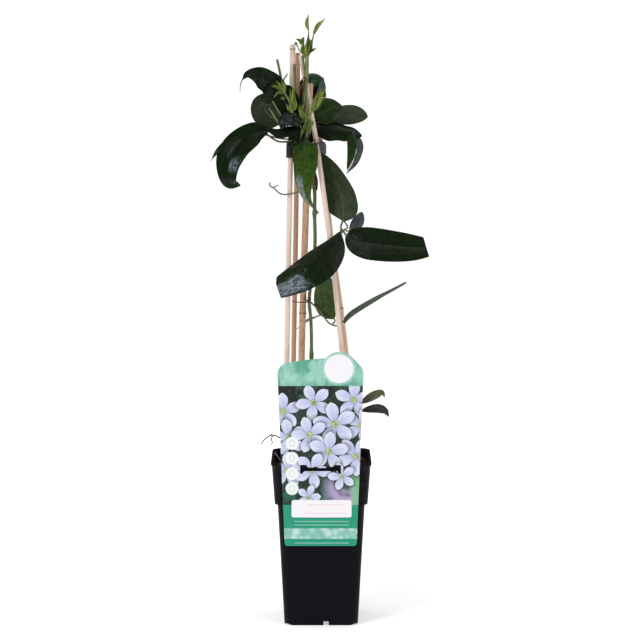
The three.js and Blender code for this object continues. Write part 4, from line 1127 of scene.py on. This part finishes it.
    "stalk_dried": {
        "slot": "dried_brown", "skin": "dry",
        "stalks": [
            ([seat(188, 230), (-24, -26, 202), (-38, -44, 212), (-45.5, -44, 214), (-50.5, -44, 216.5),
                (-56, -44, 217), (-61.5, -44, 214), (-65.5, -44, 210), (-66.5, -44, 206.5)], 0.9, 0.6),
            ([(-54.5, -44, 217), (-55.5, -44, 212), (-54.5, -44, 209), (-56, -44, 206.5)], 0.7, 0.5),
            ([(-54, -44, 216), (-56.5, -44, 218.5)], 0.7, 0.6),
        ],
    },
}

# Each tone's darker and lighter colour.
TONES = {
    "dark": (shade(11, 22, 10), shade(24, 38, 18)),
    "olive": (shade(28, 42, 18), shade(46, 62, 27)),
    "shade": (shade(20, 36, 14), shade(38, 56, 22)),
    "lime": (shade(44, 64, 20), shade(74, 102, 38)),
    "bright": (shade(14, 32, 6), shade(74, 102, 34)),
    "slate": (shade(12, 24, 17), shade(30, 45, 38)),
    "steel": (shade(38, 46, 42), shade(88, 96, 92)),
    "grey": (shade(54, 64, 68), shade(98, 108, 112)),
    "ash": (shade(52, 72, 42), shade(112, 122, 116)),
    "fern": (shade(20, 46, 26), shade(40, 80, 50)),
    "rust": (shade(52, 52, 38), shade(108, 108, 82)),
    "plum": (shade(30, 28, 32), shade(62, 64, 56)),
}
# Each stalk skin's name and its darker and lighter colour.
SKINS = {
    "green": ("stem_green", shade(64, 80, 42), shade(118, 134, 88)),
    "fresh": ("shoot_stem", shade(76, 90, 42), shade(146, 154, 98)),
    "dark": ("stalk_dark", shade(32, 44, 26), shade(62, 80, 44)),
    "red": ("stalk_red", shade(56, 50, 34), shade(110, 84, 62)),
}
# The shoots' deeper and paler leaflets; those between wear the colour that LeafLooks holds.
SHOOT_DEEP, SHOOT_PALE = (shade(54, 74, 17), shade(103, 126, 36)), (shade(84, 103, 26), shade(160, 172, 82))

# ---------------------------------------------------------------- stage
CAMERA_X = -1.36
SENSOR = 36
# Each lamp's name, place, size in metres and power in watts; all look at the plant's middle.
LAMPS = (
    ("key", (-1.3, -1.5, 1.9), 1.0, 26),
    ("fill", (1.5, -1.7, 1.2), 1.1, 11),
    ("top", (0.1, 0.1, 2.3), 1.4, 14),
    ("edge_left", (-1.8, 0.9, 1.0), 1.0, 5),
    ("edge_right", (1.8, 0.9, 1.0), 1.0, 5),
)
LAMP_AIM = (0, 0, 0.35)


# ---------------------------------------------------------------- sizes and colours a user would change
def size_setting(name, description, default):
    """A length that a user may change, in metres."""
    return FloatProperty(name=name, description=description, default=default, unit="LENGTH")


def colour_setting(name, description, default):
    """A colour that a user may change, scene-linear with alpha."""
    return FloatVectorProperty(name=name, description=description, default=default, subtype="COLOR", size=4)


class PotSizes(bpy.types.PropertyGroup):
    """Sizes and colour of the tall square pot."""

    height: size_setting("Height", "From the base to the rim", 187 * MM)
    rim_half: size_setting("Half rim", "Half the outer width at the rim", 55.5 * MM)
    base_half: size_setting("Half base", "Half the outer width at the base", 41.5 * MM)
    wall: size_setting("Wall", "Thickness of the wall", 1.6 * MM)
    corner: size_setting("Corner", "Radius of the rounded corners at the base", 8.6 * MM)
    plastic: colour_setting("Plastic", "Colour of the pot", shade(7, 6, 13))


class SoilSizes(bpy.types.PropertyGroup):
    """The compost's top."""

    top: size_setting("Top", "Mean height of the compost", 173 * MM)
    relief: size_setting("Relief", "Height of its humps", 3 * MM)
    chips: IntProperty(name="Chips", description="How many bark chips lie on it", default=420, min=0)


class CaneSizes(bpy.types.PropertyGroup):
    """Thickness of the bamboo canes."""

    front: size_setting("Front", "The two front canes", 5.8 * MM)
    back: size_setting("Back", "The two back canes", 5.6 * MM)
    centre: size_setting("Centre", "The short centre cane", 7.5 * MM)


class LabelLooks(bpy.types.PropertyGroup):
    """Thickness and colours of the hanging label."""

    thick: size_setting("Thickness", "Thickness of the sheet", 0.8 * MM)
    head: colour_setting("Head", "Band round the tab", shade(96, 168, 144))
    band: colour_setting("Band", "Bands under the picture", shade(14, 146, 114))


class LeafLooks(bpy.types.PropertyGroup):
    """Thickness and colours of the leaves."""

    thick: size_setting("Thickness", "Thickness of a blade", 0.45 * MM)
    dark: colour_setting("Face", "Upper face of an old leaf", TONES["dark"][1])
    olive: colour_setting("Underside", "Lower face of a leaf", TONES["olive"][1])
    shoot: colour_setting("Shoots", "Fresh leaflets", shade(132, 150, 54))


class StageSizes(bpy.types.PropertyGroup):
    """Camera and light."""

    distance: size_setting("Distance", "Camera to the pot's axis", 2.6)
    camera_z: size_setting("Camera height", "Camera above the floor", 0.611)
    pitch: FloatProperty(
        name="Pitch", description="How far the camera looks down", default=math.radians(5.907), unit="ROTATION"
    )
    lens: FloatProperty(name="Lens", description="Focal length in mm on a 36 mm sensor", default=130.1)


# ---------------------------------------------------------------- operators
class CLIMBER_OT_pot(bpy.types.Operator):
    """Raises the square pot from a rounded plate: outside up to the rim, inside down to the floor"""

    bl_idname = "climber.pot"
    bl_label = "Pot"

    def execute(self, context):
        pot = context.scene.climber_pot
        height, rim, base = pot.height / MM, pot.rim_half / MM, pot.base_half / MM
        wall = pot.wall / MM
        neck = COLLAR_HALF - COLLAR_STEP
        piece = start("plane", "pot_shell", size=2 * (base - 1) * MM)
        edit(piece)
        bpy.ops.mesh.bevel(offset=pot.corner, segments=10, affect="VERTICES")
        low, middle = (lerp(base, neck, z / COLLAR_Z) for z in (45, 95))
        outside = [
            (0, base - 1), (0.5, base - 0.35), (1.6, base + 0.1), (45, low), (95, middle),
            (COLLAR_Z - 1.2, neck), (COLLAR_Z - 1.2, COLLAR_HALF - 0.9), (COLLAR_Z - 0.8, COLLAR_HALF - 0.2),
            (COLLAR_Z, COLLAR_HALF), (height - 4.6, rim - 0.2), (height - 4, rim + 0.3),
            (height - 3.2, rim + 0.9), (height - 1, rim + 0.9), (height - 0.3, rim + 0.6), (height, rim - 0.1),
        ]
        inside = [
            (height, rim - wall + 0.3), (height - 0.6, rim - wall),
            (COLLAR_Z + COLLAR_STEP, COLLAR_HALF - wall), (COLLAR_Z - wall, neck - wall),
            (95, middle - wall), (4, base - wall), (2.4, base - wall - 1.5),
        ]
        raise_levels(outside + inside)
        leave()
        self.lift_corners(piece, base - round(pot.corner / MM, 3))
        outward(piece)
        self.cut_channels(piece, base)
        round_edges(piece, 0.25, 2, angle_limit=math.radians(40))
        smooth(piece, 30)
        wear(piece, pot_plastic(tuple(pot.plastic)))
        settle(piece, "pot_plastic", "pot")
        return {"FINISHED"}

    def lift_corners(self, piece, flat):
        """Lifts the base's four corners off the ground, past the flat half width."""
        for vertex in piece.data.vertices:
            past = min(abs(vertex.co.x), abs(vertex.co.y)) / MM - flat
            if vertex.co.z < 2 * MM and past > 0:
                vertex.co.z += CORNER_LIFT * past * MM

    def cut_channels(self, piece, base):
        """Cuts a drain channel into the middle of each side of the base."""
        for turn in range(4):
            channel = start("cube", "channel", size=1)
            channel.scale = [side * MM for side in DRAIN]
            channel.rotation_euler.z = turn * math.pi / 2
            middle = Vector((5.5, -(base - 5), 0.5)) * MM
            middle.rotate(channel.rotation_euler)
            channel.location = middle
            apply_modifier(piece, "BOOLEAN", object=channel, operation="DIFFERENCE", solver="EXACT")
            bpy.data.objects.remove(channel)


class CLIMBER_OT_soil(bpy.types.Operator):
    """Fills the pot with compost: a rolling crumbly top and bark chips strewn over it"""

    bl_idname = "climber.soil"
    bl_label = "Compost"

    def execute(self, context):
        soil = context.scene.climber_soil
        self.top, self.relief = soil.top / MM, soil.relief / MM
        piece = start("grid", "compost", x_subdivisions=70, y_subdivisions=70, size=2 * SOIL_HALF * MM)
        for vertex in piece.data.vertices:
            x, y = vertex.co.x / MM, vertex.co.y / MM
            wide, deep = abs(x / SOIL_HALF), abs(y / SOIL_HALF)
            round_off = max(wide, deep, 1e-6) / max((wide**8 + deep**8) ** (1 / 8), 1e-6)
            vertex.co = self.on_top(x * round_off, y * round_off)
        edit(piece)
        bpy.ops.mesh.extrude_region_move(TRANSFORM_OT_translate={"value": (0, 0, -SOIL_DEPTH * MM)})
        leave()
        outward(piece)
        smooth(piece, 60)
        wear(piece, compost())
        settle(piece, "compost", "soil")
        self.strew(soil.chips)
        return {"FINISHED"}

    def on_top(self, x, y, above=0.0):
        """The point over (x, y) on the compost's humps and heap, in metres."""
        broad = math.sin(x * 0.19 + 1.1) * math.cos(y * 0.16) + math.sin(x * 0.07 - y * 0.11)
        fine = math.sin(x * 0.83 + y * 0.31) * math.sin(y * 0.71 - x * 0.27)
        heap = HEAP * clamp((x - 22) / 16) * clamp(y / 30)
        hump = self.relief * (0.3 * broad + 0.18 * fine) + heap
        return Vector((x, y, self.top + hump + above)) * MM

    def strew(self, count):
        """Lays copies of one chip at seeded places, in one piece."""
        draw = random.Random(7)
        chip = start("cube", "chip", size=1)
        edit(chip)
        bpy.ops.mesh.subdivide(number_cuts=1)
        bpy.ops.transform.vertex_random(offset=0.16, seed=3)
        leave()
        chips = []
        reach = SOIL_HALF - 4
        for _ in range(count):
            copy = bpy.data.objects.new("chip", chip.data.copy())
            bpy.context.collection.objects.link(copy)
            x, y = draw.uniform(-reach, reach), draw.uniform(-reach, reach)
            size = draw.uniform(1.6, 5.2)
            copy.scale = (size * MM, size * draw.uniform(0.45, 0.9) * MM, size * draw.uniform(0.18, 0.4) * MM)
            copy.rotation_euler = (draw.gauss(0, 0.35), draw.gauss(0, 0.35), draw.uniform(0, math.tau))
            copy.location = self.on_top(x, y, size * 0.12)
            chips.append(copy)
        bpy.data.objects.remove(chip)
        piece = join(chips, "bark_chips")
        smooth(piece, 25)
        wear(piece, bark())
        settle(piece, "compost")


class CLIMBER_OT_canes(bpy.types.Operator):
    """Extrudes each bamboo cane through its rings and bends it along its line"""

    bl_idname = "climber.canes"
    bl_label = "Bamboo canes"

    def execute(self, context):
        sizes = context.scene.climber_canes
        for name, cane in CANES.items():
            self.cane(name, cane, getattr(sizes, cane["size"]) / MM / 2)
        return {"FINISHED"}

    def cane(self, name, cane, radius):
        line = vectors(cane["line"])
        bottom, top = line[0].z, line[-1].z
        steps = range(int(bottom) + CANE_STEP, int(top) - 2, CANE_STEP)
        levels = dict.fromkeys((bottom, *steps, top - 0.5), 0.0)
        for ring in cane["rings"]:
            levels = {z: more for z, more in levels.items() if abs(z - ring) > RING_REACH}
            levels.update({ring + lift: more for lift, more in RING_SHAPE})
        profile = [(z, radius + more) for z, more in sorted(levels.items())]
        profile += [(top, radius - 0.4), (top, radius * 0.5), (top - 5, radius * 0.46)]
        piece = start("circle", name + "_rod", vertices=20, radius=profile[0][1] * MM, fill_type="NGON")
        edit(piece)
        raise_levels(profile)
        leave()
        for vertex in piece.data.vertices:
            z = vertex.co.z / MM + bottom
            centre = at_height(line, z)
            vertex.co = Vector((vertex.co.x + centre.x * MM, vertex.co.y + centre.y * MM, z * MM))
        outward(piece)
        smooth(piece, 50)
        wear(piece, bamboo(name + "_bamboo", *cane["tones"], cane["rings"], cane["specks"]))
        settle(piece, cane["slot"], name)


class CLIMBER_OT_clip(bpy.types.Operator):
    """Gives the cane clip its worn black plastic, and the cuffs that close over the two front canes"""

    bl_idname = "climber.clip"
    bl_label = "Cane clip"

    def execute(self, context):
        finish = clip_plastic()
        wear(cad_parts["cane_clip"], finish)
        cuffs = join([self.left_cuff(), self.right_cuff()], "clip_cuffs")
        outward(cuffs)
        round_edges(cuffs, 0.3, 2)
        smooth(cuffs, 35)
        wear(cuffs, finish)
        settle(cuffs, "clip_plastic")
        return {"FINISHED"}

    def left_cuff(self):
        """A tube, open at the back, round the front left cane."""
        cuff = start("grid", "cuff_left", x_subdivisions=18, y_subdivisions=6, size=2)
        for vertex in cuff.data.vertices:
            z = CLIP_Z - 2.5 + vertex.co.y * 8.5
            centre = at_height(vectors(CANES["cane_front_left"]["line"]), z)
            angle = vertex.co.x * 1.9 - math.pi / 2
            vertex.co = (centre + Vector((math.cos(angle), math.sin(angle), 0)) * CUFF_RADIUS) * MM
        apply_modifier(cuff, "SOLIDIFY", thickness=1.2 * MM, offset=1.0)
        return cuff

    def right_cuff(self):
        """A rounded plate, curved and cut aslant at its left, before the front right cane."""
        cuff = start("plane", "cuff_right", size=2)
        edit(cuff)
        bpy.ops.mesh.bevel(offset=0.25, segments=6, affect="VERTICES")
        bpy.ops.mesh.subdivide(number_cuts=2)
        leave()
        for vertex in cuff.data.vertices:
            lift = vertex.co.y * 5.8
            x = lerp(-0.4 - 0.42 * lift, 5.6, (vertex.co.x + 1) / 2)
            y = -20 + 0.04 * (x - 1) ** 2 + 0.1 * (lift - 1)
            vertex.co = Vector((x, y, CLIP_Z - 1 + lift)) * MM
        apply_modifier(cuff, "SOLIDIFY", thickness=1.4 * MM, offset=0.0)
        return cuff


class CLIMBER_OT_label(bpy.types.Operator):
    """Cuts the label sheet with its tab and slot from a flat curve and folds its tongue over the rim"""

    bl_idname = "climber.label"
    bl_label = "Hanging label"

    def execute(self, context):
        looks = context.scene.climber_label
        finish = label_print(tuple(looks.head), tuple(looks.band))
        sheet = self.sheet(looks.thick)
        smooth(sheet, 30)
        wear(sheet, finish)
        tongue = self.tongue()
        wear(tongue, finish)
        smooth(tongue, 30)
        settle(join([sheet, tongue], "label_sheet"), "label_card", "label")
        return {"FINISHED"}

    def sheet(self, thick):
        curve = bpy.data.curves.new("label_sheet", "CURVE")
        curve.dimensions = "2D"
        curve.fill_mode = "BOTH"
        curve.bevel_depth = 0.1 * MM
        curve.bevel_resolution = 1
        curve.extrude = thick / 2 - curve.bevel_depth
        for points in (self.outline(), SLOT):
            spline = curve.splines.new("POLY")
            spline.points.add(len(points) - 1)
            for point, (x, z) in zip(spline.points, points):
                point.co = (x * MM, z * MM, 0, 1)
            spline.use_cyclic_u = True
        sheet = from_curve("label_sheet", curve)
        sheet.rotation_euler.x = math.pi / 2
        sheet.location.y = LABEL_Y * MM
        return sheet

    def tongue(self):
        """The strip that runs from the slot over the rim and down inside it."""
        wide, share, drop = TONGUE_SIZE
        tongue = start("plane", "label_tongue", size=wide * MM)
        edit(tongue)
        bpy.ops.transform.resize(value=(1, share, 1))
        leave()
        for vertex in tongue.data.vertices:
            vertex.co += Vector((0, TONGUE_Y, TONGUE_Z)) * MM
        edit(tongue)
        bpy.ops.mesh.select_mode(type="EDGE")
        bpy.ops.mesh.select_all(action="DESELECT")
        leave()
        for edge in tongue.data.edges:
            edge.select = all(tongue.data.vertices[i].co.y > TONGUE_Y * MM for i in edge.vertices)
        bpy.context.view_layer.objects.active = tongue
        bpy.ops.object.mode_set(mode="EDIT")
        bpy.ops.mesh.extrude_edges_move(TRANSFORM_OT_translate={"value": (0, 0, -drop * MM)})
        leave()
        apply_modifier(tongue, "SOLIDIFY", thickness=0.7 * MM, offset=0.0)
        round_edges(tongue, 0.3, 3)
        return tongue

    def outline(self):
        """The sheet's edge, anticlockwise from the lower left, in mm."""
        points = [(-37.1, 94.5), (35.9, 94.5)]

        def bend(control, end, steps=8):
            """Rounds a corner: from the last point towards control and on to end."""
            first = points[-1]
            for index in range(1, steps + 1):
                t = index / steps
                points.append(tuple(
                    (1 - t) ** 2 * a + 2 * t * (1 - t) * b + t * t * c for a, b, c in zip(first, control, end)
                ))

        bend((39.4, 94.5), (39.6, 98.0))
        points.append((46.7, 287.5))
        bend((46.7, 294.5), (40.7, 299.5))
        points.append((34.3, 306.2))
        middle_x, middle_z = TAB_MIDDLE
        for index in range(1, 20):
            angle = lerp(0.767, math.pi - 0.6, index / 20)
            points.append((middle_x + TAB_RADIUS * math.cos(angle), middle_z + TAB_RADIUS * math.sin(angle)))
        bend((-12, 305), (-40.3, 299.5), 12)
        bend((-48.3, 295.5), (-48.3, 287.5))
        points.append((-40.8, 98.0))
        bend((-40.6, 94.5), (-37.1, 94.5), 7)
        points.pop()
        return points


class CLIMBER_OT_plant(bpy.types.Operator):
    """Grows stem, stalks, leaves and shoots, each piece in the place of its own solid"""

    bl_idname = "climber.plant"
    bl_label = "Stem and leaves"

    def execute(self, context):
        looks = context.scene.climber_leaves
        self.chance = random.Random(5)
        self.thick = looks.thick / MM
        self.skins = {key: stem_skin(*skin) for key, skin in SKINS.items()}
        self.skins["dry"] = dried_skin()
        self.young = [
            young_leaf("shoot_leaf_deep", *SHOOT_DEEP),
            young_leaf("shoot_leaf", shade(66, 85, 17), tuple(looks.shoot)),
            young_leaf("shoot_leaf_pale", *SHOOT_PALE),
        ]
        self.tones = {
            **TONES,
            "dark": (TONES["dark"][0], tuple(looks.dark)),
            "olive": (TONES["olive"][0], tuple(looks.olive)),
        }
        for name, piece in PLANT.items():
            self.piece(name, piece)
        return {"FINISHED"}

    def piece(self, name, piece):
        """One piece: its stalks, then its blades, each with its tuft."""
        parts = []
        swell = piece.get("swell", ())
        for key, skin in (("stalks", piece["skin"]), ("extras", "fresh"), ("dry_stalks", "dry")):
            for number, (line, first, last) in enumerate(piece.get(key, ())):
                parts.append(stalk(f"{name}_{key}_{number}", line, first, last, self.skins[skin], swell))
        for number, shape in enumerate(piece.get("blades", ())):
            parts.append(self.leaf(f"{name}_blade_{number}", shape))
            for strand in range(piece.get("tuft", 0)):
                parts.append(self.leaf(f"{name}_strand_{number}_{strand}", self.strand(shape)))
        whole = join(parts, name + "_grown")
        smooth(whole, 60)
        settle(whole, piece["slot"], name)

    def strand(self, shape):
        """A narrower neighbour of a leaflet, its tip and middle moved a little."""
        base, middle, *rest, tip = vectors(shape["line"])
        off = Vector([self.chance.uniform(-2.4, 2.4) for _ in range(3)])
        line = [base, middle + off * 0.5, *rest, tip + off + (base - tip) * self.chance.uniform(0.05, 0.4)]
        return {**shape, "line": line, "half": shape["half"] * 0.5}

    def leaf(self, name, shape):
        """One blade with the finishes of its two faces."""
        if shape["tone"] == "shoot":
            skin = self.chance.choice(self.young)
            return blade(name, shape, skin, skin, YOUNG_THICK, **YOUNG_MESH)
        line = vectors(shape["line"])
        length = sum((along(line, (i + 1) / 20) - along(line, i / 20)).length for i in range(20))
        width = 2 * shape["half"]
        finish = {key: shape[key] for key in ("crumple", "bloom", "shine")}
        upper = leaf_upper(name + "_upper", self.tones[shape["tone"]], length, width, **finish)
        lower = leaf_lower(name + "_lower", self.tones[shape["under"]], length, width)
        return blade(name, shape, upper, lower, self.thick, **OLD_MESH)


class CLIMBER_OT_stage(bpy.types.Operator):
    """Sets the plain pale floor, the soft studio light and the camera"""

    bl_idname = "climber.stage"
    bl_label = "Stage"

    def execute(self, context):
        stage = context.scene.climber_stage
        self.floor()
        self.studio(context.scene)
        self.lamps()
        camera_data = bpy.data.cameras.new("camera")
        camera_data.lens = stage.lens
        camera_data.sensor_width = SENSOR
        camera = bpy.data.objects.new("camera", camera_data)
        context.collection.objects.link(camera)
        camera.location = (CAMERA_X * MM, -stage.distance, stage.camera_z)
        camera.rotation_euler = (math.pi / 2 - stage.pitch, 0, 0)
        context.scene.camera = camera
        return {"FINISHED"}

    def floor(self):
        """A pale floor that turns to plain white away from the pot."""
        floor = start("plane", "floor", size=3)
        look = Finish("floor_white", roughness=0.9, specular_ior_level=0.1, emission_strength=1.0)
        spot = look.place()
        x, y = look.split(spot)[:2]
        far = distance(x, y, (0, 0))
        look.feed(
            base_color=look.mix(look.noise(spot, 0.002) * 0.05, shade(250, 250, 250), shade(240, 240, 240)),
            emission_color=look.mix(far.step(80, 900), (0.5, 0.5, 0.5, 1), (1, 1, 1, 1)),
        )
        wear(floor, look.material)

    def studio(self, scene):
        """A world that the camera sees white and the plant hardly feels."""
        world = bpy.data.worlds.new("studio")
        world.use_nodes = True
        scene.world = world
        tree = world.node_tree
        seen = tree.nodes.new("ShaderNodeLightPath").outputs["Is Camera Ray"]
        strength = tree.nodes.new("ShaderNodeMapRange")
        tree.links.new(seen, strength.inputs["Value"])
        strength.inputs["To Min"].default_value = 0.12
        strength.inputs["To Max"].default_value = 1.05
        ground = tree.nodes["Background"]
        ground.inputs["Color"].default_value = (1, 1, 1, 1)
        tree.links.new(strength.outputs["Result"], ground.inputs["Strength"])
        scene.view_settings.view_transform = "Standard"

    def lamps(self):
        """Soft square lamps, turned to the plant."""
        for name, place, size, power in LAMPS:
            lamp = bpy.data.lights.new(name, "AREA")
            lamp.size = size
            lamp.energy = power
            light = bpy.data.objects.new(name, lamp)
            bpy.context.collection.objects.link(light)
            light.location = place
            light.rotation_euler = (Vector(LAMP_AIM) - light.location).to_track_quat("-Z", "Y").to_euler()


class CLIMBER_PT_panel(bpy.types.Panel):
    """Lists the climber's pieces and their sizes"""

    bl_idname = "CLIMBER_PT_panel"
    bl_label = "Potted climber"
    bl_space_type = "VIEW_3D"
    bl_region_type = "UI"
    bl_category = "Climber"

    def draw(self, context):
        for operator, settings in STEPS:
            box = self.layout.box()
            box.operator(operator.bl_idname)
            if settings:
                group = getattr(context.scene, settings)
                for name in group.bl_rna.properties.keys():
                    if name not in {"rna_type", "name"}:
                        box.prop(group, name)


# Each operator in order, and the settings that it reads.
STEPS = (
    (CLIMBER_OT_stage, "climber_stage"),
    (CLIMBER_OT_pot, "climber_pot"),
    (CLIMBER_OT_soil, "climber_soil"),
    (CLIMBER_OT_canes, "climber_canes"),
    (CLIMBER_OT_clip, ""),
    (CLIMBER_OT_label, "climber_label"),
    (CLIMBER_OT_plant, "climber_leaves"),
)
SETTINGS = {
    "climber_stage": StageSizes,
    "climber_pot": PotSizes,
    "climber_soil": SoilSizes,
    "climber_canes": CaneSizes,
    "climber_label": LabelLooks,
    "climber_leaves": LeafLooks,
}
CLASSES = (*SETTINGS.values(), *(operator for operator, _ in STEPS), CLIMBER_PT_panel)


def register():
    for cls in CLASSES:
        bpy.utils.register_class(cls)
    for name, group in SETTINGS.items():
        setattr(bpy.types.Scene, name, PointerProperty(type=group))


def unregister():
    for name in SETTINGS:
        delattr(bpy.types.Scene, name)
    for cls in reversed(CLASSES):
        bpy.utils.unregister_class(cls)


def main():
    register()
    bpy.ops.climber.stage()
    bpy.ops.climber.pot()
    bpy.ops.climber.soil()
    bpy.ops.climber.canes()
    bpy.ops.climber.clip()
    bpy.ops.climber.label()
    bpy.ops.climber.plant()


if __name__ == "__main__":
    main()
